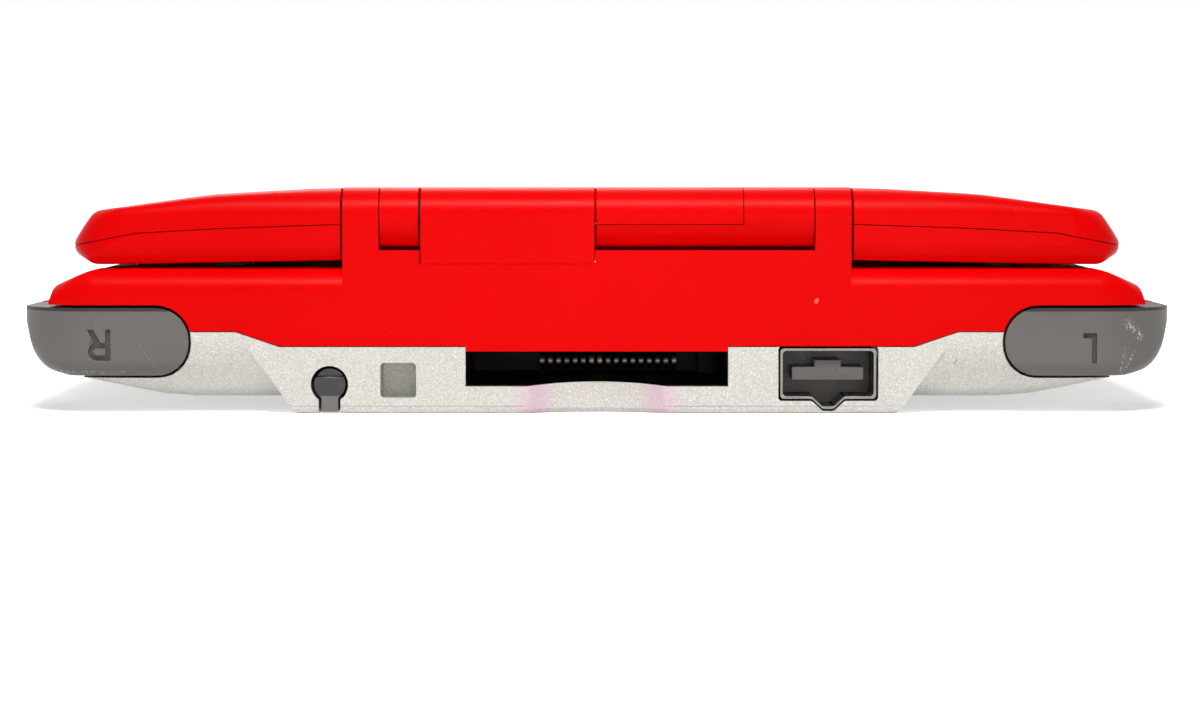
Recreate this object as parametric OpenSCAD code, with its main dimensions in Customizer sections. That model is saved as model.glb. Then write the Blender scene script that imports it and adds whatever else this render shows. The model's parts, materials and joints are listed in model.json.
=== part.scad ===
// Clamshell handheld game console, closed, standing on its flat underside.
// X runs to the player's right, Y to the hinge side, Z up. Origin under the middle of the body.

/* [Body] */
// Width of the base across the shoulder keys
body_w = 148.7; // [140:0.1:158]
// Depth of the base from its front edge to the hinge wall
body_d = 84.7; // [80:0.1:92]
// Height of the deck that carries the controls
deck_z = 18.6; // [18:0.1:20]
// Height of the undersides of the two wings above the table
wing_z = 1.8; // [1.4:0.1:2.4]
// Plan radius of the base's rear corners
corner_r = 10; // [7:0.5:12]
// Distance by which the deck steps in above the shoulder keys
shoulder_step = 3.9; // [3:0.1:4.4]
// Radius of the wings' lower rear edge
under_round = 7.5; // [6:0.5:9]
// Wall of the base's shells
wall = 1.4; // [1.2:0.1:1.6]
// Height of the seam between the two base shells at the wings
seam_wing_z = 10.4; // [9.8:0.1:11]
// Height of that seam over the centre block
seam_mid_z = 8.5; // [8.3:0.1:9]

/* [Centre block] */
// Width of the block's flat underside
block_w = 77; // [76:0.5:82]
// Width of the block where it meets the wings' seam
block_top_w = 92.4; // [88:0.2:98]

/* [Hinge] */
// Radius of the knuckles and of the ears' round tops
knuckle_r = 3.85; // [3.6:0.05:4]
// Width across both outer ears
hinge_w = 65; // [62:0.5:70]
// Width of each outer ear
ear_w = 4.6; // [4:0.1:6]
// Width of the separate middle cover
cover_w = 22.5; // [20:0.1:24]
// Width of the short knuckle
short_knuckle_w = 5.2; // [4.6:0.1:6]
// Radius of the click barrel and of the cable sleeve
hinge_core_r = 2.3; // [2:0.05:2.4]
// Gap between the lid and the base round the hinge
hinge_gap = 0.35; // [0.25:0.05:0.5]

/* [Lid] */
// Width of the lid
lid_w = 137.4; // [130:0.2:142]
// Height of the lid's rim over its tips
lid_tip_z = 25.9; // [25.4:0.1:26.4]
// Width of the flat middle of the lid
lid_flat_w = 84; // [76:1:92]
// Gap between the lid's underside and the deck
lid_gap = 1; // [0.8:0.05:1.2]
// Distance from the base's front edge to the lid's front edge
lid_front_step = 1.6; // [1:0.1:3]
// Wall of the lid's shells
lid_wall = 1.2; // [1:0.1:1.4]

/* [Screens] */
// Width of each picture
screen_w = 61; // [58:0.5:64]
// Height of each picture
screen_h = 46; // [44:0.5:48]
// Thickness of a display module
display_t = 2.8; // [2.4:0.1:3]
// Black rim round the lid's window
window_rim = 3.2; // [2.4:0.1:4]

/* [Controls] */
// Distance of each control cluster from the middle
cluster_x = 53; // [51:0.5:55]
// Place of the two clusters front to back
cluster_y = 6; // [3:0.5:8]
// Length of the cross key's arms from tip to tip
cross_span = 17.4; // [16:0.2:18.4]
// Width of an arm
cross_arm = 6; // [5:0.1:6.4]
// Diameter of a face button
button_d = 6.2; // [5.6:0.1:6.6]
// Distance of a face button from the middle of its cluster
button_pitch = 6.4; // [6.2:0.1:6.8]
// Length of the pill buttons
pill_l = 5.4; // [5:0.1:6]
// Width of the pill buttons
pill_w = 2.6; // [2.2:0.1:3]
// Height of the buttons above the deck
button_rise = 0.5; // [0.4:0.05:0.7]
// Tilt of the cross key in degrees
cross_tilt = 4.5; // [3:0.25:5]
// Running gap round the buttons
button_gap = 0.3; // [0.25:0.05:0.35]
// Travel of the buttons
button_travel = 0.7; // [0.5:0.05:0.8]

/* [Shoulder keys] */
// Length of the keys along the rear edge
key_l = 22.15; // [20.35:0.2:24.35]
// Height of the keys' lower edge
key_bottom_z = 4.8; // [4.6:0.1:5.4]
// Height of the keys' upper edge
key_top_z = 13.5; // [13:0.1:14]
// Reach of the keys along the sides
key_depth = 20; // [17:0.5:24]
// Wall of the keys
key_wall = 1.5; // [1.2:0.1:1.8]
// Gap between the keys and the shells
key_gap = 0.35; // [0.25:0.05:0.45]
// Depth of the keys' band from the outside inwards
key_reach = 5.2; // [5:0.1:6]
// Swing of the keys in degrees
key_swing = 3; // [2:0.25:3]
// Radius of the keys' pivot pins
key_pin_r = 0.8; // [0.6:0.05:0.9]

/* [Game card slot] */
// Width of the rear slot's mouth
card_w = 33.6; // [33:0.1:35]
// Height of the rear slot's mouth
card_h = 4.5; // [4.3:0.1:4.8]
// Depth of the rear slot
card_depth = 33; // [31:0.5:34]
// Width of the finger scoop under the slot
scoop_w = 18.8; // [16:0.2:22]
// Depth of the finger scoop
scoop_depth = 3.2; // [2:0.1:4]
// Number of contacts in the rear slot
card_pins = 17; // [11:1:19]

/* [Cartridge slot] */
// Width of the front slot's mouth
cart_w = 58; // [56:0.2:58.4]
// Height of the front slot's mouth
cart_h = 8.6; // [8:0.1:8.7]
// Depth of the front slot
cart_depth = 34; // [32:0.5:35]
// Number of contacts in the front slot
cart_pins = 32; // [26:1:34]

/* [Stylus] */
// Distance of the stylus from the middle
stylus_x = 34.2; // [33.8:0.1:35]
// Height of the stylus
stylus_z = 3.7; // [3.6:0.05:4]
// Radius of the stylus
stylus_r = 2.05; // [1.8:0.05:2.1]
// Radius of its hole
stylus_hole_r = 2.4; // [2.3:0.05:2.5]
// Length of the stylus
stylus_l = 73; // [68:0.5:76]

/* [Ports] */
// Place of the power socket
socket_x = -29.6; // [-31:0.1:-28]
// Width of the power socket's metal shell
socket_w = 12.3; // [11.6:0.1:12.8]
// Height of the power socket's metal shell
socket_h = 6.5; // [6.2:0.1:6.8]
// Place of the wrist strap's hole
strap_x = 25.4; // [24.8:0.1:26]
// Side of the wrist strap's hole
strap_w = 4.6; // [4.4:0.1:5]
// Place of the phones jack
jack_x = 45; // [44:0.5:48]
// Radius of the phones jack's hole
jack_r = 1.8; // [1.76:0.01:1.85]
// Place of the volume slider
volume_x = -45; // [-48:0.5:-43]
// Travel of the volume slider
volume_travel = 8; // [6:0.5:9]

/* [Battery and board] */
// Width of the battery pack
battery_w = 19; // [17:0.5:20]
// Length of the battery pack
battery_l = 44; // [38:0.5:46]
// Thickness of the circuit board
board_t = 1; // [0.8:0.1:1.2]

/* [Hidden] */
$fn = 48;
arc_steps = 7;          // straight steps in a rounded corner of an outline
eps = 0.02;             // overlap that makes a clean cut
half_w = body_w / 2;
key_inner_x = half_w - key_l;
rear_y = body_d / 2;
front_y = -body_d / 2;
button_top_z = deck_z + button_rise;
flange_t = 0.7;         // thickness of the flange under a button

// Lid and hinge
lid_under_z = deck_z + lid_gap;
hinge_z = lid_under_z + 5.45;
lid_top_z = hinge_z + knuckle_r;
hinge_y = rear_y - knuckle_r;
lid_seam_z = lid_top_z - 4.8;     // parting line over the middle of the lid
lid_tip_seam_z = lid_tip_z - 5;   // the same at the lid's tips
lid_tip_under_z = deck_z + 0.35;
lid_half = lid_w / 2;
lid_rear_y = rear_y - 0.8;
lid_front_y = front_y + lid_front_step;
lid_notch_y = hinge_y - knuckle_r - hinge_gap;
ear_in = hinge_w / 2 - ear_w;
knuckle_side_gap = 0.15;
short_in = ear_in - short_knuckle_w;
cover_in = short_in - cover_w;
trough_z = hinge_z - knuckle_r - hinge_gap;
cover_base_z = deck_z + 0.5;
bore_r = hinge_core_r + 0.05;
notch_half = hinge_w / 2 + hinge_gap;

// Displays, board and slots
display_w = screen_w + 5;
display_h = screen_h + 6;
touch_t = 0.8;
touch_top_z = deck_z - 0.6;
display_z = touch_top_z - touch_t - display_t;
board_z = display_z - 1.4 - board_t;
block_floor = 1.2;
card_z = seam_mid_z - 0.55 - card_h;
cart_z = 1.7;
slot_wall = 0.5;
pin_w = 0.5;
socket_z = seam_mid_z - 0.15 - socket_h;
battery_x = -(block_top_w / 2 + 5.3);
battery_floor_z = wing_z + wall + 1.9;
battery_t = board_z - 0.6 - battery_floor_z;
window_w = screen_w + 2 * window_rim;
window_h = screen_h + 2 * window_rim;
window_t = 1;
window_y = (lid_front_y + lid_notch_y) / 2;
lid_recess = button_rise + 1.65 - lid_gap;
lid_floor_z = lid_under_z + lid_recess + lid_wall;
strap_z = card_z - 1.45;

// Corner of an outline turned into an arc of radius r, from point a past corner p to point b
function unit(v) = v / norm(v);
function corner_arc(a, p, b, r) =
    let (u = unit(a - p), w = unit(b - p), half = acos(u * w) / 2,
         middle = p + unit(u + w) * r / sin(half),
         from = p + u * r / tan(half) - middle, to = p + w * r / tan(half) - middle,
         start = atan2(from.y, from.x), turn = (atan2(to.y, to.x) - start + 540) % 360 - 180)
    [for (i = [0:arc_steps]) middle + r * [cos(start + turn * i / arc_steps), sin(start + turn * i / arc_steps)]];
function flat_point(c) = [c.x, c.y];
// An outline given as corners [x, y, radius]
function rounded(c) = [for (i = [0:len(c) - 1])
    each c[i].z <= 0.01 ? [flat_point(c[i])]
        : corner_arc(flat_point(c[(i + len(c) - 1) % len(c)]), flat_point(c[i]), flat_point(c[(i + 1) % len(c)]), c[i].z)];
// The right half of a symmetrical outline, from bottom to top, with its mirror image
function both_sides(half) = concat(half, [for (i = [len(half) - 1:-1:0]) [-half[i].x, half[i].y, half[i].z]]);

module along_y(outline, y0, y1) {
    translate([0, y1, 0]) rotate([90, 0, 0]) linear_extrude(y1 - y0) polygon(outline);
}
module along_x(outline, x0, x1) {
    translate([x0, 0, 0]) rotate([90, 0, 90]) linear_extrude(x1 - x0) polygon(outline);
}
module along_z(outline, z0, z1) {
    translate([0, 0, z0]) linear_extrude(z1 - z0) polygon(outline);
}
module box(low, high) {
    translate(low) cube(high - low);
}
module rod_x(x0, x1, y, z, r) {
    translate([x0, y, z]) rotate([0, 90, 0]) cylinder(r = r, h = x1 - x0);
}
module rod_y(y0, y1, x, z, r) {
    translate([x, y1, z]) rotate([90, 0, 0]) cylinder(r = r, h = y1 - y0);
}
module rod_z(z0, z1, x, y, r) {
    translate([x, y, z0]) cylinder(r = r, h = z1 - z0);
}
function soft(r, inset) = max(r - inset, 0.3);

// ---- Base envelope, seen from behind, from the side and from above; inset shrinks it ----
function base_front(i) = rounded(both_sides([
    [half_w - 20 - i, wing_z + i, 30],
    [half_w - 2 - i, wing_z + 3.9 + i, soft(5, i)],
    [half_w - i, wing_z + 8.4, 4],
    [half_w - i, key_top_z - i, 0.2],
    [half_w - shoulder_step - i, key_top_z + 0.35 - i, 0],
    [half_w - shoulder_step - 0.7 - i, key_top_z + 2.8 - i, soft(1.8, i)],
    [half_w - shoulder_step - 6 - i, deck_z - i, soft(9, i)]]));
function base_side(i) = rounded([
    [rear_y - i, wing_z + i, soft(under_round, i)],
    [rear_y - i, deck_z - i, soft(3.2, i)],
    [front_y + i, deck_z - i, soft(3, i)],
    [front_y + i, wing_z + i, soft(6, i)]]);
function base_plan(i) = rounded([
    [half_w - i, front_y + i, soft(8, i)],
    [half_w - i, rear_y - i, soft(corner_r, i)],
    [-half_w + i, rear_y - i, soft(corner_r, i)],
    [-half_w + i, front_y + i, soft(8, i)]]);
module base_envelope(i) {
    intersection() {
        along_y(base_front(i), front_y, rear_y);
        along_x(base_side(i), -half_w, half_w);
        along_z(base_plan(i), 0, deck_z);
    }
}
function block_front(i) = rounded(both_sides([
    [block_w / 2 - i, i, soft(1.6, i)],
    [block_top_w / 2 - i, seam_wing_z, 0]]));
function block_side(i) = rounded([
    [rear_y - i, i, soft(0.9, i)],
    [rear_y - i, seam_wing_z, 0],
    [front_y + 0.6 + i, seam_wing_z, 0],
    [front_y + 0.6 + i, i, soft(2.5, i)]]);
module centre_block(i) {
    intersection() {
        along_y(block_front(i), front_y, rear_y);
        along_x(block_side(i), -half_w, half_w);
    }
}
// Everything under the seam between the silver and the red shell; lift moves the seam
module under_seam(lift) {
    slope_out = block_top_w / 2;
    slope_in = slope_out - 5.6;
    along_y([[-half_w - 1, -1], [half_w + 1, -1], [half_w + 1, seam_wing_z + lift], [slope_out, seam_wing_z + lift],
        [slope_in, seam_mid_z + lift], [-slope_in, seam_mid_z + lift],
        [-slope_out, seam_wing_z + lift], [-half_w - 1, seam_wing_z + lift]], front_y - 1, rear_y + 1);
}

// ---- Hinge block of the base ----
module hinge_column(x0, x1, top_z) {
    box([x0, hinge_y - knuckle_r, deck_z - 4], [x1, rear_y, top_z]);
}
module ear(x0, x1) {
    hinge_column(x0, x1, hinge_z);
    rod_x(x0, x1, hinge_y, hinge_z, knuckle_r);
}
module hinge_block() {
    ear(ear_in, hinge_w / 2);
    ear(-hinge_w / 2, -ear_in);
    hinge_column(-ear_in - eps, cover_in, trough_z);
    hinge_column(cover_in - eps, short_in + eps, cover_base_z);
    hinge_column(short_in, ear_in + eps, trough_z);
}

// ---- Shoulder keys, on the +X side; mirrored for the other ----
// Outline from behind: a half round at the inner end, the body's own outline at the outer end
function key_front(grow) = rounded([
    [key_inner_x - grow, key_bottom_z - grow, 4.2 + grow],
    [half_w + 4, key_bottom_z - grow, 0],
    [half_w + 4, key_top_z + grow, 0],
    [key_inner_x - grow, key_top_z + grow, 4.2 + grow]]);
function key_side() = rounded([
    [rear_y, key_bottom_z - 0.6, 2.6],
    [rear_y, key_top_z + 1, 0],
    [front_y, key_top_z + 1, 0],
    [front_y, key_bottom_z - 0.6, 0]]);
// A band along the body's rear corner, as deep as depth, ending at end_y
module key_band(grow, depth, end_y) {
    difference() {
        along_y(key_front(grow), end_y, rear_y + 1);
        along_z(base_plan(depth), 0, deck_z);
    }
}
key_end_y = rear_y - key_depth;
swing_gap = 2 * key_depth * sin(key_swing) * 0.55 + 0.25;
module key_pocket(grow) {
    key_band(key_gap + grow, key_reach + swing_gap + grow, key_end_y - swing_gap - grow);
}
key_pin_x = key_inner_x + 3;
key_hub_r = key_pin_r + 1;
key_pin_y = rear_y - key_wall - key_hub_r + 0.2;
module shoulder_key() {
    difference() {
        intersection() {
            along_y(base_front(0), front_y, rear_y);
            along_x(key_side(), 0, half_w);
            along_z(base_plan(0), 0, deck_z);
            key_band(0, key_reach, key_end_y);
        }
        difference() {
            along_z(base_plan(key_wall), key_bottom_z + key_wall, key_top_z - key_wall);
            rod_z(0, deck_z, key_pin_x, key_pin_y, key_hub_r);
            // rib that works the switch
            box([key_switch_x - 1.2, rear_y - key_reach - 1, 0], [key_switch_x + 1.2, rear_y, deck_z]);
        }
        rod_z(0, deck_z, key_pin_x, key_pin_y, key_pin_r + 0.05);
    }
}

// ---- Base shells ----
module base_cavity() {
    difference() {
        union() {
            base_envelope(wall);
            centre_block(block_floor);
        }
        // stylus tube, strap block, wall behind the scoop and walls of the keys' pockets
        stylus_tube(stylus_hole_r + 1);
        box([strap_x - strap_w / 2 - 1, rear_y - 7.8, -1], [strap_x + strap_w / 2 + 1, rear_y, seam_mid_z]);
        box([-scoop_w / 2 - 1, rear_y - scoop_depth - 1.2, -1], [scoop_w / 2 + 1, rear_y, card_z - slot_wall - 0.3]);
        for (s = [0, 1]) mirror([s, 0, 0]) key_pocket(pocket_wall);
    }
}
pocket_wall = 0.9;
module stylus_tube(r) {
    rod_y(rear_y - stylus_l - 3, rear_y + 1, stylus_x, stylus_z, r);
    box([stylus_x - r, rear_y - stylus_l - 3, -1], [stylus_x + r, rear_y + 1, stylus_z]);
}
module stylus_bore() {
    rod_y(rear_y - stylus_l - 1.5, rear_y + 1, stylus_x, stylus_z, stylus_hole_r);
    box([stylus_x - 1.4, rear_y - 7, -1], [stylus_x + 1.4, rear_y + 1, stylus_z]);
}
function screw_points() = [for (x = [-1, 1], p = [[half_w - 14, front_y + 8], [key_inner_x + 3.2, rear_y - 10.6]]) [x * p.x, p.y]];
module screw_posts(z0, z1, r) {
    for (p = screw_points()) rod_z(z0, z1, p.x, p.y, r);
}
module battery_opening(grow) {
    box([battery_x - battery_w / 2 - grow, -battery_l / 2 - grow, 0], [battery_x + battery_w / 2 + grow, battery_l / 2 + grow, wing_z + wall + 1]);
}
module lower_shell() {
    color("gainsboro") difference() {
        union() {
            difference() {
                intersection() {
                    union() {
                        base_envelope(0);
                        centre_block(0);
                    }
                    under_seam(0);
                }
                base_cavity();
            }
            intersection() {
                screw_posts(wing_z, board_z - 0.3, 2.4);
                base_envelope(wall - eps);
            }
        }
        for (s = [0, 1]) mirror([s, 0, 0]) {
            key_pocket(0);
            key_holes();
        }
        stylus_bore();
        card_mouth();
        socket_outline(0.25, rear_y - 9.5, rear_y + 1);
        strap_duct();
        cart_mouth(0.3);
        rod_y(front_y - 1, front_y + 4, jack_x, jack_z, jack_rim + 0.1);
        volume_slot(0.3);
        battery_opening(0.15);
        screw_posts(-1, board_z, 0.75);
        screw_posts(-1, screw_head_z, 1.7);
        for (p = foot_points()) rod_z(-1, foot_seat_z, p.x, p.y, 2.5);
    }
}
screw_head_z = wing_z + 2.4;
module strap_duct() {
    h = strap_w - 0.1;
    box([strap_x - strap_w / 2, rear_y - 6.6, strap_z], [strap_x + strap_w / 2, rear_y + 1, strap_z + h]);
    box([strap_x - strap_w / 2, rear_y - 6.6, -1], [strap_x + strap_w / 2, rear_y - 2.2, strap_z + 1]);
}
module key_holes() {
    rod_z(key_bottom_z - key_gap - 0.7, key_top_z + key_gap + 0.7, key_pin_x, key_pin_y, key_pin_r + 0.02);
    rod_y(rear_y - 10, rear_y - 5, key_switch_x, key_mid_z, 1);
}
key_mid_z = (key_bottom_z + key_top_z) / 2;
key_switch_x = key_inner_x + 9;
mouth_gap = 0.1;
module card_mouth() {
    box([-card_w / 2 - slot_wall - mouth_gap, rear_y - 10, card_z - slot_wall - mouth_gap],
        [card_w / 2 + slot_wall + mouth_gap, card_end_y + mouth_gap, seam_mid_z + 1]);
    box([-card_w / 2, rear_y - 10, card_z], [card_w / 2, rear_y + 1, seam_mid_z + 1]);
    // finger scoop, a wide vertical hollow in the lip
    reach = (scoop_w * scoop_w / 4 + scoop_depth * scoop_depth) / (2 * scoop_depth);
    rod_z(-1, seam_mid_z - 0.6, 0, rear_y - scoop_depth + reach, reach);
}
module cart_mouth(grow) {
    box([-cart_w / 2, front_y - 1, cart_z], [cart_w / 2, front_y + 4, cart_z + cart_h]);
    box([-cart_w / 2 - slot_wall - mouth_gap, front_y + 1.1, cart_z - slot_wall + 0.1 - 0.05],
        [cart_w / 2 + slot_wall + mouth_gap, front_y + 4, cart_z + cart_h + slot_wall]);
}

// Feet
foot_seat_z = 0.5;
function foot_points() = [for (x = [-1, 1], y = [front_y + 8, rear_y - 12]) [x * (block_w / 2 - 9), y]];
module feet() {
    color("dimgray") for (p = foot_points()) rod_z(0, foot_seat_z, p.x, p.y, 2.5);
}

// ---- Deck ----
cross_hole = cross_span + 2 * button_gap;
function face_button_places() = [[button_pitch, 0], [0, -button_pitch], [0, button_pitch], [-button_pitch, 0]];
pill_y = rear_y - 15.35;
select_x = cluster_x - 5;
start_x = cluster_x + 5;
power_x = -cluster_x;
module pill(l, w, z0, z1, x, y) {
    rod_z(z0, z1, x - (l - w) / 2, y, w / 2);
    rod_z(z0, z1, x + (l - w) / 2, y, w / 2);
    box([x - (l - w) / 2, y - w / 2, z0], [x + (l - w) / 2, y + w / 2, z1]);
}
module cross(span, arm, z0, z1) {
    box([-cluster_x - span / 2, cluster_y - arm / 2, z0], [-cluster_x + span / 2, cluster_y + arm / 2, z1]);
    box([-cluster_x - arm / 2, cluster_y - span / 2, z0], [-cluster_x + arm / 2, cluster_y + span / 2, z1]);
}
screen_y = (front_y + hinge_y - knuckle_r) / 2;
mic_x = -screen_w / 2 + 4;
mic_y = front_y + 10.3;
led_x = cluster_x - 2;
module deck_holes() {
    z0 = deck_z - wall - 1;
    z1 = deck_z + 1;
    cross(cross_hole, cross_arm + 2 * button_gap, z0, z1);
    for (p = face_button_places()) rod_z(z0, z1, cluster_x + p.x, cluster_y + p.y, button_d / 2 + button_gap);
    for (x = [select_x, start_x]) pill(pill_l + 2 * button_gap, pill_w + 2 * button_gap, z0, z1, x, pill_y);
    pill(pill_l + 2 * button_gap, pill_w + 2 * button_gap, z0, z1, power_x, pill_y);
    along_z(rounded([for (c = [[1, -1], [1, 1], [-1, 1], [-1, -1]])
        [c.x * (screen_w / 2 + 1), screen_y + c.y * (screen_h / 2 + 1), 1]]), z0 - 2, z1);
    rod_z(z0, z1, mic_x, mic_y, 0.6);
    for (y = [0, 4]) pill(2.6, 1.2, z0, z1, led_x, front_y + 9 + y);
}
module deck_shell() {
    color("red") difference() {
        union() {
            difference() {
                base_envelope(0);
                under_seam(0.12);
            }
            hinge_block();
            // lip over the card slot's mouth
            box([-card_w / 2 + 0.05, rear_y - wall, card_z + card_h], [card_w / 2 - 0.05, rear_y, seam_mid_z + 1]);
        }
        difference() {
            base_envelope(wall);
            // screw posts under the deck, walls of the keys' pockets
            screw_posts(board_z + board_t + 0.1, deck_z, 2.2);
            for (s = [0, 1]) mirror([s, 0, 0]) key_pocket(pocket_wall);
        }
        box([-hinge_w / 2 + 1.5, hinge_y - 2.2, 0], [hinge_w / 2 - 1.5, hinge_y + 2.2, deck_z - 1.2]);
        box([-display_w / 2 - 0.3, screen_y - display_h / 2 - 0.3, display_z - 1], [display_w / 2 + 0.3, screen_y + display_h / 2 + 0.3, touch_top_z + 0.02]);
        deck_holes();
        for (s = [0, 1]) mirror([s, 0, 0]) {
            key_pocket(0);
            key_holes();
        }
        // bores for the click barrel and the cable sleeve
        rod_x(-hinge_w / 2 + 0.9, -ear_in + 1, hinge_y, hinge_z, bore_r);
        rod_x(ear_in - 1, hinge_w / 2 - 0.9, hinge_y, hinge_z, bore_r);
        rod_y(front_y - 1, front_y + 4, jack_x, jack_z, jack_rim + 0.1);
        cart_mouth(0.3);
        socket_outline(0.25, rear_y - 9.5, rear_y + 1);
        screw_posts(0, board_z + board_t + 4, 0.7);
    }
}
// The middle cover of the hinge, held on the base
module hinge_cover() {
    color("red") difference() {
        union() {
            box([cover_in + 0.08, hinge_y - knuckle_r, cover_base_z], [short_in - knuckle_side_gap, rear_y, hinge_z]);
            rod_x(cover_in + 0.08, short_in - knuckle_side_gap, hinge_y, hinge_z, knuckle_r);
        }
        rod_x(short_in - 7, short_in + 1, hinge_y, hinge_z, bore_r);
        rod_x(cover_in + 1.2, short_in - 6, hinge_y, hinge_z, bore_r - 0.6);
    }
}

// ---- Lid ----
// Seen from behind: flat middle, curved wings, tips sloping in
function lid_front(i) = rounded(both_sides([
    [notch_half, lid_under_z + i, 0],
    [lid_half - 4, lid_tip_under_z + i, soft(3, i)],
    [lid_half - 0.2 - i, lid_tip_seam_z, soft(1.5, i)],
    [lid_half - 4 - i, lid_tip_z - i * 0.9, soft(2.4, i)],
    [lid_flat_w / 2 + 8, lid_top_z - 0.95 - i, 20],
    [lid_flat_w / 2 - 8, lid_top_z - i, 60]]));
function lid_side(i) = rounded([
    [lid_rear_y - i, lid_tip_under_z - 1 + i, 0],
    [lid_rear_y - i, lid_top_z - i, soft(3.9, i)],
    [lid_front_y + i, lid_top_z - 1.6 - i, soft(3.4, i)],
    [lid_front_y + i, lid_tip_under_z - 1 + i, 0]]);
function lid_under_side(i) = rounded([
    [lid_rear_y - i, lid_tip_under_z + i, soft(2.8, i)],
    [lid_rear_y - i, lid_top_z + 1, 0],
    [lid_front_y + i, lid_top_z + 1, 0],
    [lid_front_y + i, lid_tip_under_z + i, soft(2.4, i)]]);
function lid_plan(i) = rounded([
    [lid_half - i, lid_front_y + i, soft(9, i)],
    [lid_half - i, lid_rear_y - i, soft(7, i)],
    [-lid_half + i, lid_rear_y - i, soft(7, i)],
    [-lid_half + i, lid_front_y + i, soft(9, i)]]);
module lid_envelope(i) {
    intersection() {
        along_y(lid_front(i), lid_front_y, lid_rear_y);
        along_x(lid_side(i), -lid_half, lid_half);
        along_z(lid_plan(i), 0, lid_top_z);
    }
}
module lid_notch() {
    box([-notch_half, lid_notch_y, 0], [notch_half, rear_y + 1, lid_top_z + 1]);
}
// Everything over the lid's parting line
module over_lid_seam(lift) {
    along_y([[lid_half + 1, lid_tip_seam_z + lift], [lid_half - 10, lid_tip_seam_z + 2.1 + lift], [lid_half - 21, lid_seam_z - 0.5 + lift],
        [notch_half, lid_seam_z + lift], [-notch_half, lid_seam_z + lift], [-lid_half + 21, lid_seam_z - 0.5 + lift],
        [-lid_half + 10, lid_tip_seam_z + 2.1 + lift], [-lid_half - 1, lid_tip_seam_z + lift],
        [-lid_half - 1, lid_top_z + 2], [lid_half + 1, lid_top_z + 2]], lid_front_y - 1, rear_y + 1);
}
// A knuckle of the lid: its barrel and the bridge to the lid
module knuckle(x0, x1) {
    rod_x(x0, x1, hinge_y, hinge_z, knuckle_r);
    box([x0, lid_notch_y - lid_wall, hinge_z - knuckle_r], [x1, hinge_y, lid_top_z]);
}
long_knuckle = [-ear_in + knuckle_side_gap, cover_in - knuckle_side_gap];
short_knuckle = [short_in + knuckle_side_gap, ear_in - knuckle_side_gap];
module knuckles() {
    for (k = [long_knuckle, short_knuckle]) knuckle(k[0], k[1]);
}
// The part of the long knuckle that the outer shell covers
module knuckle_cap(lift) {
    box([cover_in - 19 + lift, lid_notch_y - lid_wall, lid_seam_z + lift], [cover_in + 1, rear_y + 1, lid_top_z + 1]);
}
module lid_outer_shell() {
    color("red") difference() {
        union() {
            difference() {
                intersection() {
                    lid_envelope(0);
                    over_lid_seam(0.12);
                }
                lid_notch();
            }
            intersection() {
                knuckle(long_knuckle[0], long_knuckle[1]);
                knuckle_cap(0.1);
            }
        }
        difference() {
            lid_envelope(lid_wall);
            for (p = lid_screw_points()) rod_z(0, lid_top_z, p.x, p.y, 2);
            box([-notch_half - lid_wall, lid_notch_y - lid_wall, 0], [notch_half + lid_wall, rear_y + 1, lid_top_z + 1]);
        }
        for (k = [long_knuckle, short_knuckle]) rod_x(k[0] - 1, k[1] + 1, hinge_y, hinge_z, bore_r + 0.02);
        for (p = lid_screw_points()) rod_z(0, lid_pad_z + 4, p.x, p.y, 0.7);
    }
}
speaker_r = 6;
speaker_t = 2.2;
speaker_x = lid_half - speaker_r - 9.5;
speaker_y = window_y;
function speaker_holes() = [for (c = [-1, 1], r = [-1, 0, 1]) [c * 1.7, r * 3.4]];
module lid_inner_shell() {
    color("red") difference() {
        union() {
            difference() {
                intersection() {
                    lid_envelope(0);
                    along_x(lid_under_side(0), -lid_half, lid_half);
                }
                over_lid_seam(0);
                lid_notch();
            }
            difference() {
                knuckles();
                knuckle_cap(0);
                lid_top_trim();
            }
        }
        // hollow, kept off the notch and the front lip
        intersection() {
            lid_envelope(lid_wall);
            box([-lid_half, lid_front_y, lid_floor_z], [lid_half, lid_notch_y - lid_wall, lid_top_z]);
        }
        // shallow hollows that clear the controls
        for (s = [-1, 1]) along_z(rounded([for (c = [[1, -1], [1, 1], [-1, 1], [-1, -1]])
            [s * cluster_x + c.x * 12.4, cluster_y + 3 + c.y * 24, 4]]), 0, lid_under_z + lid_recess);
        // window and display
        along_z(window_outline(0.1), 0, lid_under_z + window_t + 0.3);
        box([-display_w / 2 - 0.3, window_y - display_h / 2 - 0.3, 0], [display_w / 2 + 0.3, window_y + display_h / 2 + 0.3, lid_seam_z + 2]);
        for (s = [-1, 1], h = speaker_holes()) rod_z(0, lid_top_z, s * speaker_x + h.x, speaker_y + h.y, 0.7);
        for (k = [long_knuckle, short_knuckle]) rod_x(k[0] - 1, k[1] + 1, hinge_y, hinge_z, bore_r + 0.02);
        for (p = lid_screw_points()) {
            rod_z(0, lid_pad_z, p.x, p.y, lid_pad_r + 0.1);
            rod_z(0, lid_pad_z + 0.9, p.x, p.y, 1.3);
            rod_z(0, lid_seam_z + 2, p.x, p.y, 0.7);
        }
    }
}
// Over the short knuckle and the far end of the long one the inner shell makes the whole barrel
module lid_top_trim() {
    box([-notch_half, lid_front_y, lid_seam_z], [notch_half, lid_notch_y, lid_top_z + 1]);
}
function window_outline(grow) = rounded([for (c = [[1, -1], [1, 1], [-1, 1], [-1, -1]])
    [c.x * (window_w / 2 + grow), window_y + c.y * (window_h / 2 + grow), 2 + grow]]);
function lid_screw_points() = [for (x = [-1, 1], y = [lid_front_y + 6.5, lid_rear_y - 12]) [x * (lid_half - 6.2), y]];

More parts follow.
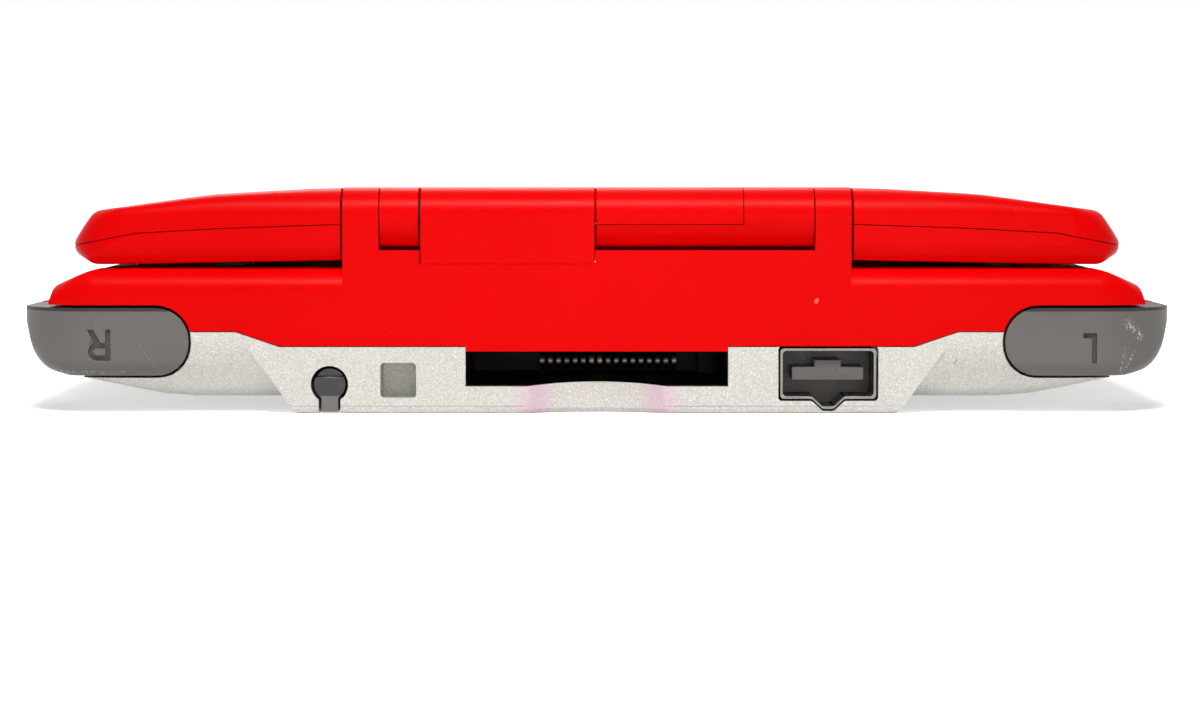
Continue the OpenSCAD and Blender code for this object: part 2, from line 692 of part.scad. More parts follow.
// ---- Lid contents ----
module upper_window() {
    color("black") along_z(window_outline(0), lid_under_z, lid_under_z + window_t);
}
module upper_display() {
    color("darkslategray") box([-display_w / 2, window_y - display_h / 2, lid_under_z + window_t + 0.05],
        [display_w / 2, window_y + display_h / 2, lid_under_z + window_t + 0.05 + display_t]);
}
module speakers() {
    color("darkgray") for (s = [-1, 1]) translate([s * speaker_x, speaker_y, lid_floor_z + 0.3]) {
        difference() {
            cylinder(r = speaker_r, h = speaker_t);
            translate([0, 0, -1]) cylinder(r = 0.8 * speaker_r, h = speaker_t - 0.6);
        }
        cylinder(r = 2.6, h = speaker_t);
    }
}
module speaker_gaskets() {
    color("black") for (s = [-1, 1]) translate([s * speaker_x, speaker_y, lid_floor_z]) difference() {
        cylinder(r = speaker_r, h = 0.3);
        translate([0, 0, -1]) cylinder(r = 0.8 * speaker_r, h = 2);
    }
}
lid_pad_z = lid_under_z + 1;
lid_pad_r = 2;
module lid_screws() {
    color("silver") for (p = lid_screw_points()) {
        rod_z(lid_pad_z + 0.1, lid_pad_z + 0.9, p.x, p.y, 1.2);
        rod_z(lid_pad_z + 0.9 - eps, lid_pad_z + 3.8, p.x, p.y, 0.65);
    }
}
module lid_pads() {
    color("dimgray") for (p = lid_screw_points()) rod_z(deck_z + 0.3, lid_pad_z, p.x, p.y, lid_pad_r);
}

// ---- Hinge inner pieces ----
module click_barrel() {
    color("silver") rod_x(-hinge_w / 2 + 1, -ear_in + 15, hinge_y, hinge_z, hinge_core_r);
}
module cable_sleeve() {
    color("lightgray") difference() {
        rod_x(short_in - 6, hinge_w / 2 - 1, hinge_y, hinge_z, hinge_core_r);
        rod_x(short_in - 7, hinge_w / 2, hinge_y, hinge_z, hinge_core_r - 0.7);
    }
}

// ---- Base contents ----
module main_board() {
    x = half_w - shoulder_step - wall - 0.4;
    color("darkgreen") difference() {
        along_z(rounded([[x, front_y + wall + 0.8, 5], [x, rear_y - wall - 1.4, 5], [-x, rear_y - wall - 1.4, 5],
            [-x, front_y + wall + 0.8, 5]]), board_z, board_z + board_t);
        screw_posts(0, deck_z, 2.5);
        for (s = [0, 1]) mirror([s, 0, 0]) key_pocket(pocket_wall + 0.4);
    }
}
module touch_panel() {
    color("lightsteelblue") box([-screen_w / 2 - 2, screen_y - screen_h / 2 - 2, touch_top_z - touch_t],
        [screen_w / 2 + 2, screen_y + screen_h / 2 + 2, touch_top_z]);
}
module lower_display() {
    color("darkslategray") box([-display_w / 2, screen_y - display_h / 2, display_z],
        [display_w / 2, screen_y + display_h / 2, touch_top_z - touch_t]);
}
module display_tray() {
    color("silver") difference() {
        box([-display_w / 2, screen_y - display_h / 2, board_z + board_t], [display_w / 2, screen_y + display_h / 2, display_z]);
        box([-display_w / 2 + 3, screen_y - display_h / 2 + 3, 0], [display_w / 2 - 3, screen_y + display_h / 2 - 3, display_z - 0.5]);
    }
}
module battery_pack() {
    color("slategray") box([battery_x - battery_w / 2, -battery_l / 2, battery_floor_z],
        [battery_x + battery_w / 2, battery_l / 2, battery_floor_z + battery_t]);
}
module battery_cover() {
    color("gainsboro") difference() {
        intersection() {
            difference() {
                base_envelope(0);
                base_envelope(wall);
            }
            battery_opening(0);
        }
        // ribs that hold the pack
        for (y = [-battery_l / 4, battery_l / 4]) intersection() {
            box([battery_x - 7, y - 0.6, wing_z + 0.4], [battery_x + 7, y + 0.6, battery_floor_z - 0.1]);
            base_envelope(0.4);
        }
        rod_z(0, 10, battery_x, -battery_l / 2 + 4, 1);
        rod_z(-1, wing_z + 0.7, battery_x, -battery_l / 2 + 4, 1.7);
    }
}
module shell_screws() {
    color("silver") {
        for (p = screw_points()) {
            rod_z(screw_head_z - 0.9, screw_head_z, p.x, p.y, 1.5);
            rod_z(screw_head_z - eps, board_z - 1.5, p.x, p.y, 0.7);
        }
        rod_z(wing_z + 0.1, wing_z + 0.7, battery_x, -battery_l / 2 + 4, 1.5);
        rod_z(wing_z + 0.7 - eps, wing_z + wall + 0.2, battery_x, -battery_l / 2 + 4, 0.7);
    }
}
// Rear card slot: a thin black housing, open at the back, with a row of contacts
card_end_y = rear_y - wall - 0.1;
card_in_y = card_end_y - card_depth;
module card_slot() {
    color("dimgray") difference() {
        box([-card_w / 2 - slot_wall, card_in_y - 1, card_z - slot_wall], [card_w / 2 + slot_wall, card_end_y, card_z + card_h + slot_wall]);
        box([-card_w / 2, card_in_y, card_z], [card_w / 2, rear_y, card_z + card_h]);
        reach = (scoop_w * scoop_w / 4 + scoop_depth * scoop_depth) / (2 * scoop_depth);
        rod_z(-1, card_z + 1, 0, rear_y - scoop_depth + reach, reach);
    }
}
card_pin_pitch = 1.2;
module card_contacts() {
    color("gold") for (i = [0:card_pins - 1]) {
        x = (i - (card_pins - 1) / 2) * card_pin_pitch;
        box([x - pin_w / 2, card_in_y, card_z + card_h - 0.8], [x + pin_w / 2, card_in_y + 6, card_z + card_h]);
    }
}
ejector_x = -card_w / 2 + 2.2;
module card_ejector() {
    color("dimgray") box([ejector_x - 1, card_in_y + 4, card_z + 0.2], [ejector_x + 1, card_in_y + 9, card_z + card_h - 0.2]);
}
// Front cartridge slot
cart_in_y = front_y + 1.2 + cart_depth;
module cartridge_slot() {
    color("dimgray") difference() {
        box([-cart_w / 2 - slot_wall, front_y + 1.2, cart_z - slot_wall + 0.1], [cart_w / 2 + slot_wall, cart_in_y + 3, cart_z + cart_h + slot_wall - 0.1]);
        box([-cart_w / 2, front_y, cart_z], [cart_w / 2, cart_in_y, cart_z + cart_h]);
    }
}
cart_pin_pitch = 1.5;
module cartridge_contacts() {
    color("gold") for (i = [0:cart_pins - 1]) {
        x = (i - (cart_pins - 1) / 2) * cart_pin_pitch;
        box([x - pin_w / 2, cart_in_y - 5, cart_z], [x + pin_w / 2, cart_in_y, cart_z + 0.9]);
    }
}
// Power socket: a bent metal shell with a V bump below, and a black tongue inside
module socket_outline(grow, y0, y1) {
    w = socket_w / 2 + grow;
    z0 = socket_z - grow;
    z1 = socket_z + socket_h + grow;
    translate([socket_x, 0, 0]) along_y(rounded([[w, z0, 0.5], [w, z1, 0.5], [-w, z1, 0.5], [-w, z0, 0.5],
        [-2.1, z0, 0.4], [-0.7 , z0 - 1.3, 0.5], [0.7, z0 - 1.3, 0.5], [2.1, z0, 0.4]]), y0, y1);
}
module power_socket() {
    color("silver") difference() {
        socket_outline(0, rear_y - 9, rear_y - 0.3);
        socket_outline(-0.35, rear_y - 8.4, rear_y + 1);
    }
}
module power_tongue() {
    color("dimgray") translate([socket_x, 0, socket_z]) {
        box([-4.6, rear_y - 8.4, socket_h * 0.36], [4.6, rear_y - 1.6, socket_h * 0.62]);
        box([-1.7, rear_y - 8.4, socket_h * 0.6], [1.7, rear_y - 1.6, socket_h * 0.76]);
    }
}
jack_z = 8;
front_port_z = 7;
jack_rim = jack_r + 0.9;
module phones_jack() {
    color("dimgray") difference() {
        union() {
            rod_y(front_y + 0.6, front_y + 5, jack_x, jack_z, jack_rim);
            box([jack_x - 3.2, front_y + 4.2, jack_z - 2.8], [jack_x + 3.2, front_y + 14, board_z - 0.1]);
        }
        rod_y(front_y - 1, front_y + 12.6, jack_x, jack_z, jack_r);
    }
}
module volume_slot(grow) {
    box([volume_x - volume_travel / 2 - 1.6 - grow, front_y - 1, front_port_z - 0.9 - grow],
        [volume_x + volume_travel / 2 + 1.6 + grow, front_y + 3, front_port_z + 0.9 + grow]);
}
// The slider rests at its low end, on the left
module volume_slider() {
    x = volume_x - volume_travel / 2;
    color("dimgray") {
        box([x - 1.6, front_y + 0.2, front_port_z - 0.8], [x + 1.6, front_y + 4, front_port_z + 0.8]);
        box([x - 2.6, front_y + wall + 0.8, front_port_z - 1.6], [x + 2.6, front_y + 4, front_port_z + 1.6]);
    }
}
module volume_track() {
    color("silver") box([volume_x - volume_travel / 2 - 4, front_y + 4.3, front_port_z - 1.6], [volume_x + volume_travel / 2 + 4, front_y + 6.6, board_z - 0.1]);
}
module microphone() {
    color("silver") rod_z(deck_z - wall - 2.4, deck_z - wall - 0.1, mic_x, mic_y, 2);
}
radio_t = 2.4;
module radio_module() {
    color("silver") box([cluster_x - 19, cluster_y - 28, board_z - radio_t], [cluster_x + 3, cluster_y, board_z]);
}
module led_lenses() {
    color("palegreen") for (y = [0, 4]) pill(2.3, 0.9, board_z + board_t, deck_z - 0.05, led_x, front_y + 9 + y);
}

// Buttons and their rubber domes
flange_top_z = deck_z - wall - 0.15;
cross_lean = cross_tilt * sqrt(2);  // its tilt with two arms down at once
cross_flange_z = deck_z - wall - 0.1 - (cross_span / 2 + 0.6) * sin(cross_lean) - flange_t;
ball_r = 1.2;
sheet_t = 0.6;          // thickness of a rubber sheet under its domes
sheet_top_z = board_z + board_t + sheet_t;
module cross_key() {
    color("dimgray") difference() {
        union() {
            cross(cross_span, cross_arm, cross_flange_z, button_top_z);
            rod_z(cross_flange_z, cross_flange_z + flange_t, -cluster_x, cluster_y, cross_span / 2 + 0.6);
        }
        translate([-cluster_x, cluster_y, button_top_z + 7.6]) sphere(r = 8);
        translate([-cluster_x, cluster_y, cross_flange_z]) sphere(r = ball_r + 0.05);
    }
}
// The ball that the cross rocks on, and the post under it
module cross_ball() {
    color("dimgray") translate([-cluster_x, cluster_y, cross_flange_z]) sphere(r = ball_r);
}
module cross_post() {
    color("dimgray") rod_z(sheet_top_z, cross_flange_z - ball_r - 0.03, -cluster_x, cluster_y, 0.9);
}
module face_button(i) {
    p = face_button_places()[i];
    color("dimgray") {
        rod_z(flange_top_z - flange_t, button_top_z, cluster_x + p.x, cluster_y + p.y, button_d / 2);
        rod_z(flange_top_z - flange_t, flange_top_z, cluster_x + p.x, cluster_y + p.y, button_d / 2 + 0.6);
    }
}
module pill_button(x) {
    color("dimgray") {
        pill(pill_l, pill_w, flange_top_z - flange_t, button_top_z, x, pill_y);
        pill(pill_l + 1.2, pill_w + 1.2, flange_top_z - flange_t, flange_top_z, x, pill_y);
    }
}
dome_top_z = flange_top_z - flange_t - button_travel - 0.1;
cross_dome_top_z = cross_flange_z - (button_pitch + 2.8) * sin(cross_tilt) - 0.15;
module dome(x, y, r, top_z) {
    translate([x, y, sheet_top_z - 0.3]) cylinder(r1 = r, r2 = r * 0.6, h = top_z - sheet_top_z + 0.3);
}
module cross_domes() {
    color("lightgray") {
        along_z(rounded([for (c = [[1, -1], [1, 1], [-1, 1], [-1, -1]]) [-cluster_x + c.x * 9.5, cluster_y + c.y * 9.5, 3]]), board_z + board_t, sheet_top_z);
        for (p = face_button_places()) dome(-cluster_x + p.x, cluster_y + p.y, 2.2, cross_dome_top_z);
    }
}
module face_domes() {
    color("lightgray") {
        along_z(rounded([for (c = [[1, -1], [1, 1], [-1, 1], [-1, -1]]) [cluster_x + c.x * 9.5, cluster_y + c.y * 9.5, 3]]), board_z + board_t, sheet_top_z);
        for (p = face_button_places()) dome(cluster_x + p.x, cluster_y + p.y, 2.2, dome_top_z);
    }
}
module pill_domes() {
    color("lightgray") {
        box([select_x - 3, pill_y - 2.4, board_z + board_t], [start_x + 3, pill_y + 2.4, sheet_top_z]);
        for (x = [select_x, start_x]) dome(x, pill_y, 1.6, dome_top_z);
    }
}
module power_switch() {
    color("silver") {
        box([power_x - 2.4, pill_y - 2.2, board_z + board_t], [power_x + 2.4, pill_y + 2.2, dome_top_z - 0.6]);
        rod_z(dome_top_z - 0.6 - eps, dome_top_z, power_x, pill_y, 0.9);
    }
}
// Shoulder key pins and switches
module key_pin(s) {
    color("silver") mirror([s, 0, 0])
        rod_z(key_bottom_z - key_gap - 0.65, key_top_z + key_gap + 0.65, key_pin_x, key_pin_y, key_pin_r);
}
key_wall_y = rear_y - key_reach - swing_gap - pocket_wall;
module key_switches() {
    color("silver") for (s = [0, 1]) mirror([s, 0, 0]) {
        box([key_switch_x - 3, key_wall_y - 3.4, key_mid_z - 2.2], [key_switch_x + 3, key_wall_y, key_mid_z + 2.2]);
        rod_y(key_wall_y - eps, rear_y - key_reach - (key_switch_x - key_pin_x) * sin(key_swing) - 0.1, key_switch_x, key_mid_z, 0.8);
    }
}
module stylus() {
    y0 = rear_y - 0.5 - stylus_l;
    color("dimgray") difference() {
        union() {
            rod_y(y0 + 3, rear_y - 0.5, stylus_x, stylus_z, stylus_r);
            translate([stylus_x, y0 + 3, stylus_z]) rotate([90, 0, 0]) cylinder(r1 = stylus_r, r2 = 0.7, h = 3);
            box([stylus_x - 1.1, rear_y - 6, 0.2], [stylus_x + 1.1, rear_y - 0.5, stylus_z]);
        }
        // thumb flat on the end
        box([stylus_x - 3, rear_y - 1.1, stylus_z + 1], [stylus_x + 3, rear_y, stylus_z + 3]);
    }
}

lower_shell();
deck_shell();
hinge_cover();
battery_cover();
battery_pack();
main_board();
touch_panel();
lower_display();
display_tray();
shell_screws();
feet();
card_slot();
card_contacts();
card_ejector();
cartridge_slot();
cartridge_contacts();
power_socket();
power_tongue();
phones_jack();
volume_slider();
volume_track();
microphone();
radio_module();
led_lenses();
cross_key();
cross_ball();
cross_post();
face_button(0);  // button_east
face_button(1);  // button_south
face_button(2);  // button_north
face_button(3);  // button_west
pill_button(start_x);  // start_button
pill_button(select_x);  // select_button
pill_button(power_x);  // power_button
cross_domes();
face_domes();
pill_domes();
power_switch();
color("dimgray") shoulder_key();  // right_shoulder_key
color("dimgray") mirror([1, 0, 0]) shoulder_key();  // left_shoulder_key
key_pin(0);  // right_key_pin
key_pin(1);  // left_key_pin
key_switches();
stylus();
click_barrel();
cable_sleeve();
lid_outer_shell();
lid_inner_shell();
upper_window();
upper_display();
speakers();
speaker_gaskets();
lid_screws();
lid_pads();
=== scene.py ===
import json
import math
import bpy
import bmesh
import numpy as np
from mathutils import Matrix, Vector


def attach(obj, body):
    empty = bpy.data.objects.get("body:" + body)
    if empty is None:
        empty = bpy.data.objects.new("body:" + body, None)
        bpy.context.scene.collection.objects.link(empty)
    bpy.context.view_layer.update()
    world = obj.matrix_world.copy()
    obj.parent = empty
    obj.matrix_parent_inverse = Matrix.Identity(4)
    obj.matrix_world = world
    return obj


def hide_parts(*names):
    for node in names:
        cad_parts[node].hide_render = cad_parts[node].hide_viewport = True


# A closed clamshell handheld console, seen from its hinge side.
# Lengths in the dictionaries are millimetres in the model's frame:
# +X to the player's right, +Y to the hinge, +Z up.

mm = 0.001
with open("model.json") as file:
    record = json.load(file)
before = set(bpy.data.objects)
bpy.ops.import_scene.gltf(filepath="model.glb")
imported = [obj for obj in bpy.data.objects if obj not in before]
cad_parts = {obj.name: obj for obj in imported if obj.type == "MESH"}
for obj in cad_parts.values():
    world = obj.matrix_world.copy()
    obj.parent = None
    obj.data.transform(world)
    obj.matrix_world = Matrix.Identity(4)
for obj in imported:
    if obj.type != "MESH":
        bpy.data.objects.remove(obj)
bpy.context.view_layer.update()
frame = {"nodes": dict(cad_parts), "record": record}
nodes = frame["nodes"]
print("frame loaded:", len(nodes), "nodes")


# camera, floor and light

view = {
    "eye": (-0.4, 500.0, 33.0), "aim": (-0.4, 42.35, 7.95),
    "lens": 107.6, "sensor": 36.0, "clip": (10, 20000),
}
tableLamp = {"place": (0, 450, 620), "aim": (0, 200, 0), "size": 200, "watts": 0.84, "spread": 75}
faceLamp = {"place": (-70, 620, 55), "aim": (0, 0, 10), "size": 300, "watts": 0.35, "spread": 180}
rimLamp = {"place": (60, -420, 380), "aim": (0, 0, 10), "size": 300, "watts": 1.1, "spread": 180}
roomLevel = 0.20   # what the room gives to matt surfaces
paper = {
    "half": 6000, "steps": 24,             # half the floor's side, and the cells along a side
    "tone": 0.92, "drift": 1.02, "cloud": 90, "rough": 0.9, "shine": 0.1,
    "lift": 0.5, "near": 90, "far": 300,   # its own light by the object, growing to 1 between near and far
}


def aimed(place, aim):
    # a turn that points -Z from place to aim, with +Y kept up
    return (Vector(aim) - Vector(place)).to_track_quat("-Z", "Y").to_euler()


def setCamera(look):
    data = bpy.data.cameras.new("camera")
    data.lens, data.sensor_width = look["lens"], look["sensor"]
    data.clip_start, data.clip_end = (end * mm for end in look["clip"])
    seen = bpy.data.objects.new("camera", data)
    seen.location = Vector(look["eye"]) * mm
    seen.rotation_euler = aimed(look["eye"], look["aim"])
    bpy.context.scene.collection.objects.link(seen)
    bpy.context.scene.camera = seen


def addLamp(name, look):
    data = bpy.data.lights.new(name, "AREA")
    data.spread = math.radians(look["spread"])
    data.shape, data.size, data.energy = "DISK", look["size"] * mm, look["watts"]
    lamp = bpy.data.objects.new(name, data)
    lamp.location = Vector(look["place"]) * mm
    lamp.rotation_euler = aimed(look["place"], look["aim"])
    bpy.context.scene.collection.objects.link(lamp)


def seenRays(tree):
    # 1 for the rays of the camera, of reflections and through glass, 0 for those that light matt surfaces
    path = tree.nodes.new("ShaderNodeLightPath")
    rays = [path.outputs["Is " + kind + " Ray"] for kind in ("Camera", "Glossy", "Transmission")]
    return joinMath(tree, "MAXIMUM", joinMath(tree, "MAXIMUM", rays[0], rays[1]), rays[2])


def setRoom(level):
    # matt surfaces see a grey room, the camera and the reflections see white
    world = bpy.data.worlds.new("room")
    world.use_nodes = True
    tree = world.node_tree
    tree.nodes.clear()
    out = tree.nodes.new("ShaderNodeOutputWorld")
    back = tree.nodes.new("ShaderNodeBackground")
    back.inputs["Color"].default_value = (1, 1, 1, 1)
    tree.links.new(ranged(tree, seenRays(tree), level, 1.0, 0, 1), back.inputs["Strength"])
    tree.links.new(back.outputs[0], out.inputs["Surface"])
    bpy.context.scene.world = world


def layFloor(look):
    # a wide grid at z = 0. For the camera and in reflections it gives light of its own, less by the object,
    # so that its shadow shows there and the far floor runs into the white room
    half, steps = look["half"] * mm, look["steps"]
    run = np.linspace(-half, half, steps + 1)
    gx, gy = np.meshgrid(run, run, indexing="ij")
    points = np.stack([gx, gy, np.zeros_like(gx)], -1).reshape(-1, 3)
    n = steps + 1
    i, j = np.meshgrid(np.arange(steps), np.arange(steps), indexing="ij")
    a = (i * n + j).ravel()
    faces = np.stack([a, a + n, a + n + 1, a + 1], -1)
    floor = meshFrom("floor", points, faces)
    finish, tree, shader, place = newFinish("floorPaper")
    tones = [(tone, tone, tone, 1) for tone in (look["tone"], look["tone"] * look["drift"])]
    tree.links.new(between(tree, grain(tree, place, look["cloud"], 3), *tones), shader.inputs["Base Color"])
    shader.inputs["Roughness"].default_value = look["rough"]
    shader.inputs["Specular IOR Level"].default_value = look["shine"]
    shader.inputs["Emission Color"].default_value = (1, 1, 1, 1)
    away = vectorMath(tree, "LENGTH", place, out=1)
    lift = ranged(tree, away, look["lift"], 1.0, look["near"] * mm, look["far"] * mm)
    lift = joinMath(tree, "MULTIPLY", seenRays(tree), lift)
    tree.links.new(lift, shader.inputs["Emission Strength"])
    floor.data.materials.append(finish)


# meshes and node helpers

def meshFrom(name, points, faces, smooth=True):
    # puts points and faces into a new object
    data = bpy.data.meshes.new(name)
    corners = [tuple(p) for p in np.asarray(points, float)]
    data.from_pydata(corners, [], [tuple(int(k) for k in f) for f in faces])
    if smooth:
        data.polygons.foreach_set("use_smooth", np.ones(len(data.polygons), bool))
    data.update()
    thing = bpy.data.objects.new(name, data)
    bpy.context.scene.collection.objects.link(thing)
    return thing


def newFinish(name):
    # an empty node tree with one principled shader and the object's own coordinates
    finish = bpy.data.materials.new(name)
    finish.use_nodes = True
    tree = finish.node_tree
    tree.nodes.clear()
    out = tree.nodes.new("ShaderNodeOutputMaterial")
    shader = tree.nodes.new("ShaderNodeBsdfPrincipled")
    tree.links.new(shader.outputs["BSDF"], out.inputs["Surface"])
    place = tree.nodes.new("ShaderNodeTexCoord").outputs["Object"]
    return finish, tree, shader, place


def grain(tree, place, size, detail=2.0, rough=0.5):
    # noise with lumps about size millimetres wide
    noise = tree.nodes.new("ShaderNodeTexNoise")
    noise.inputs["Scale"].default_value = 1.0 / (size * mm)
    noise.inputs["Detail"].default_value = detail
    noise.inputs["Roughness"].default_value = rough
    tree.links.new(place, noise.inputs["Vector"])
    return noise.outputs["Fac"]


def cells(tree, place, size, what="Distance"):
    # cells about size millimetres wide
    cell = tree.nodes.new("ShaderNodeTexVoronoi")
    cell.inputs["Scale"].default_value = 1.0 / (size * mm)
    tree.links.new(place, cell.inputs["Vector"])
    return cell.outputs[what]


def stretched(tree, place, turn, scale):
    # the place turned and scaled, for lines that run one way
    mapping = tree.nodes.new("ShaderNodeMapping")
    mapping.inputs["Rotation"].default_value = [math.radians(a) for a in turn]
    mapping.inputs["Scale"].default_value = scale
    tree.links.new(place, mapping.inputs["Vector"])
    return mapping.outputs[0]


def ranged(tree, source, low, high, fromLow=0.3, fromHigh=0.7):
    step = tree.nodes.new("ShaderNodeMapRange")
    for key, value in (("From Min", fromLow), ("From Max", fromHigh), ("To Min", low), ("To Max", high)):
        step.inputs[key].default_value = value
    tree.links.new(source, step.inputs["Value"])
    return step.outputs[0]


def feed(tree, socket, value):
    # links an input to another node's output, or gives it a fixed value
    if hasattr(value, "links"):
        tree.links.new(value, socket)
    elif value is not None:
        socket.default_value = value


def between(tree, source, first, second):
    # a mix of two colours, each three or four numbers or an output
    mix = tree.nodes.new("ShaderNodeMix")
    mix.data_type = "RGBA"
    tree.links.new(source, mix.inputs[0])
    for socket, value in ((mix.inputs[6], first), (mix.inputs[7], second)):
        short = isinstance(value, tuple) and len(value) == 3
        feed(tree, socket, (*value, 1) if short else value)
    return mix.outputs[2]


def joinMath(tree, how, first, second):
    step = tree.nodes.new("ShaderNodeMath")
    step.operation = how
    feed(tree, step.inputs[0], first)
    feed(tree, step.inputs[1], second)
    return step.outputs[0]


def vectorMath(tree, how, first, second=None, out=0):
    step = tree.nodes.new("ShaderNodeVectorMath")
    step.operation = how
    feed(tree, step.inputs[0], first)
    feed(tree, step.inputs[1], second)
    return step.outputs[out]


def dented(tree, shader, source, depth):
    # bump of depth millimetres
    bump = tree.nodes.new("ShaderNodeBump")
    bump.inputs["Strength"].default_value = 1.0
    bump.inputs["Distance"].default_value = depth * mm
    tree.links.new(source, bump.inputs["Height"])
    tree.links.new(bump.outputs[0], shader.inputs["Normal"])


def axisOf(tree, place, axis):
    split = tree.nodes.new("ShaderNodeSeparateXYZ")
    tree.links.new(place, split.inputs[0])
    return split.outputs[axis]


underFade = 0.08   # over how many millimetres in y a stroke ends at its "under"


def strokeMask(tree, place, stroke):
    # 1 within width of the line from start to end, 0 farther than width and fade together. The distance is
    # that to the line's nearest point, and a flat stroke reads it in x and z only.
    start, end = (np.array(stroke[k], float) * mm for k in ("start", "end"))
    keep = (1, 0, 1) if stroke.get("flat", True) else (1, 1, 1)
    run = (end - start) * keep
    away = vectorMath(tree, "MULTIPLY", vectorMath(tree, "SUBTRACT", place, tuple(start)), keep)
    part = joinMath(tree, "DIVIDE", vectorMath(tree, "DOT_PRODUCT", away, tuple(run), 1), float(run @ run))
    along = vectorMath(tree, "SCALE", tuple(run))
    tree.links.new(ranged(tree, part, 0, 1, 0, 1), along.node.inputs["Scale"])
    far = vectorMath(tree, "LENGTH", vectorMath(tree, "SUBTRACT", away, along), out=1)
    masks = [ranged(tree, far, 1, 0, stroke["width"] * mm, (stroke["width"] + stroke["fade"]) * mm)]
    if "under" in stroke:
        # only where y is less than this
        ends = [(stroke["under"] - gap) * mm for gap in (underFade, 0)]
        masks.append(ranged(tree, axisOf(tree, place, 1), 1, 0, *ends))
    if "patch" in stroke:
        # only in patches of about this size
        masks.append(ranged(tree, grain(tree, place, stroke["patch"], 3, 0.7), 0, 1, 0.5, 0.6))
    mask = masks[0]
    for other in (*masks[1:], stroke["show"]):
        mask = joinMath(tree, "MULTIPLY", mask, other)
    return mask


def withStrokes(tree, place, colour, strokes):
    for stroke in strokes:
        colour = between(tree, strokeMask(tree, place, stroke), colour, stroke["tone"])
    return colour


# finishes

def plasticFinish(name, look):
    # colour drifts between two tones, roughness follows a second noise,
    # a fine grain dents it, and hairlines and dust lie on top
    finish, tree, shader, place = newFinish(name)
    drift = grain(tree, place, look["driftSize"], 3)
    colour = between(tree, ranged(tree, drift, 0, 1), look["dark"], look["light"])
    dust = ranged(tree, cells(tree, place, look["dustGap"]), 1, 0, 0.0, look["dustSize"])
    patch = ranged(tree, grain(tree, place, look["dustPatch"], 1), 0, 1, *look["dustSpan"])
    dust = joinMath(tree, "MULTIPLY", dust, patch)
    colour = between(tree, joinMath(tree, "MULTIPLY", dust, look["dustShow"]), colour, look["dustTone"])
    colour = withStrokes(tree, place, colour, look["strokes"])
    # bands are tones over a span along one axis: painted shade on the keys, the stylus's own paler tail
    for axis, start, end, tone in look["bands"]:
        full = ranged(tree, axisOf(tree, place, axis), 0, 1, start * mm, end * mm)
        colour = between(tree, full, colour, tone)
    tree.links.new(colour, shader.inputs["Base Color"])
    hair = grain(tree, stretched(tree, place, look["hairTurn"], look["hairScale"]), look["hairSize"], 1)
    hair = ranged(tree, hair, 0, 1, *look["hairSpan"])
    rough = ranged(tree, grain(tree, place, look["blotSize"], 4, 0.6), *look["rough"])
    rough = joinMath(tree, "ADD", rough, joinMath(tree, "MULTIPLY", hair, look["hairShow"]))
    tree.links.new(rough, shader.inputs["Roughness"])
    shader.inputs["Specular IOR Level"].default_value = look["shine"]
    dented(tree, shader, grain(tree, place, look["grainSize"], 2), look["grainDepth"])
    return finish


# strokes are marks along lines; bands are (axis, where a tone begins, where it is full, the tone)
plainPlastic = {
    "driftSize": 30, "strokes": (), "bands": (),
    "dustGap": 2.6, "dustSize": 0.05, "dustPatch": 9, "dustSpan": (0.5, 0.62), "dustShow": 0.35,
    "dustTone": (0.8, 0.78, 0.75),
    "hairTurn": (8, 0, 35), "hairScale": (1, 0.03, 1), "hairSize": 0.35, "hairSpan": (0.66, 0.72),
    "hairShow": 0.06,
    "blotSize": 6, "rough": (0.3, 0.4), "shine": 0.5, "grainSize": 0.3, "grainDepth": 0.004,
}
redLook = dict(
    plainPlastic, dark=(0.80, 0.0006, 0.001), light=(0.87, 0.001, 0.0016), rough=(0.28, 0.36), shine=0.04,
    grainSize=1.6, grainDepth=0.005, dustShow=0.12,
    strokes=({"start": (-28.0, 42.3, 14.3), "end": (-28.1, 42.3, 14.5), "width": 0.1, "fade": 0.22,
              "show": 0.6, "flat": False, "tone": (0.9, 0.3, 0.28)},))
# painted shade: a near-black red for the rim inside the lid's seam
seamShadeLook = dict(plainPlastic, dark=(0.10, 0.0005, 0.001), light=(0.14, 0.0008, 0.0012), rough=(0.7, 0.8),
                shine=0.02)

# painted shade on the sunk floors of R and L, then scuffs as (start, end, width, fade, show, size of patches)
sunkShadeTone = (0.04, 0.036, 0.034)
scuffTone = (0.62, 0.60, 0.58)
keyStrokes = [{"start": (x, 42, high), "end": (x, 42, 8.1), "width": width, "fade": 0.1, "show": 0.8,
               "under": 42.02, "tone": sunkShadeTone}
              for x, high, width in ((63.67, 9.4, 2.4), (-63.05, 9.1, 1.9))]
keyStrokes += [{"start": (start[0], 42, start[1]), "end": (end[0], 42, end[1]), "width": width, "fade": fade,
                "show": show, "patch": patch, "tone": scuffTone} for start, end, width, fade, show, patch in (
    ((58.66, 9.04), (56.6, 5.99), 0.03, 0.07, 0.35, 0.3),
    ((-67.9, 11.5), (-69.6, 9.9), 0.3, 0.5, 0.75, 0.35),
    ((-69.1, 8.3), (-67.3, 4.93), 0.06, 0.14, 0.7, 0.5),
    ((-67.65, 8.2), (-67.0, 5.1), 0.04, 0.2, 0.5, 0.4),
    ((60.5, 5.2), (70.2, 5.3), 0.05, 0.25, 0.35, 0.6))]
# the keys' band is painted shade: darker from z 13 up, along the gap under the deck's rim and on the top
# ledge
keyLook = dict(plainPlastic, dark=(0.135, 0.125, 0.115), light=(0.18, 0.168, 0.155), rough=(0.42, 0.52),
               shine=0.3, grainSize=0.22, grainDepth=0.006, strokes=keyStrokes,
               bands=((2, 13.0, 13.12, (0.03, 0.027, 0.026)),))
blackLook = dict(plainPlastic, dark=(0.012, 0.011, 0.011), light=(0.022, 0.020, 0.019), rough=(0.3, 0.42),
                 shine=0.1)
stylusLook = dict(blackLook, shine=0.6, rough=(0.16, 0.26), bands=((2, 2.3, 2.1, (0.16, 0.155, 0.148)),))
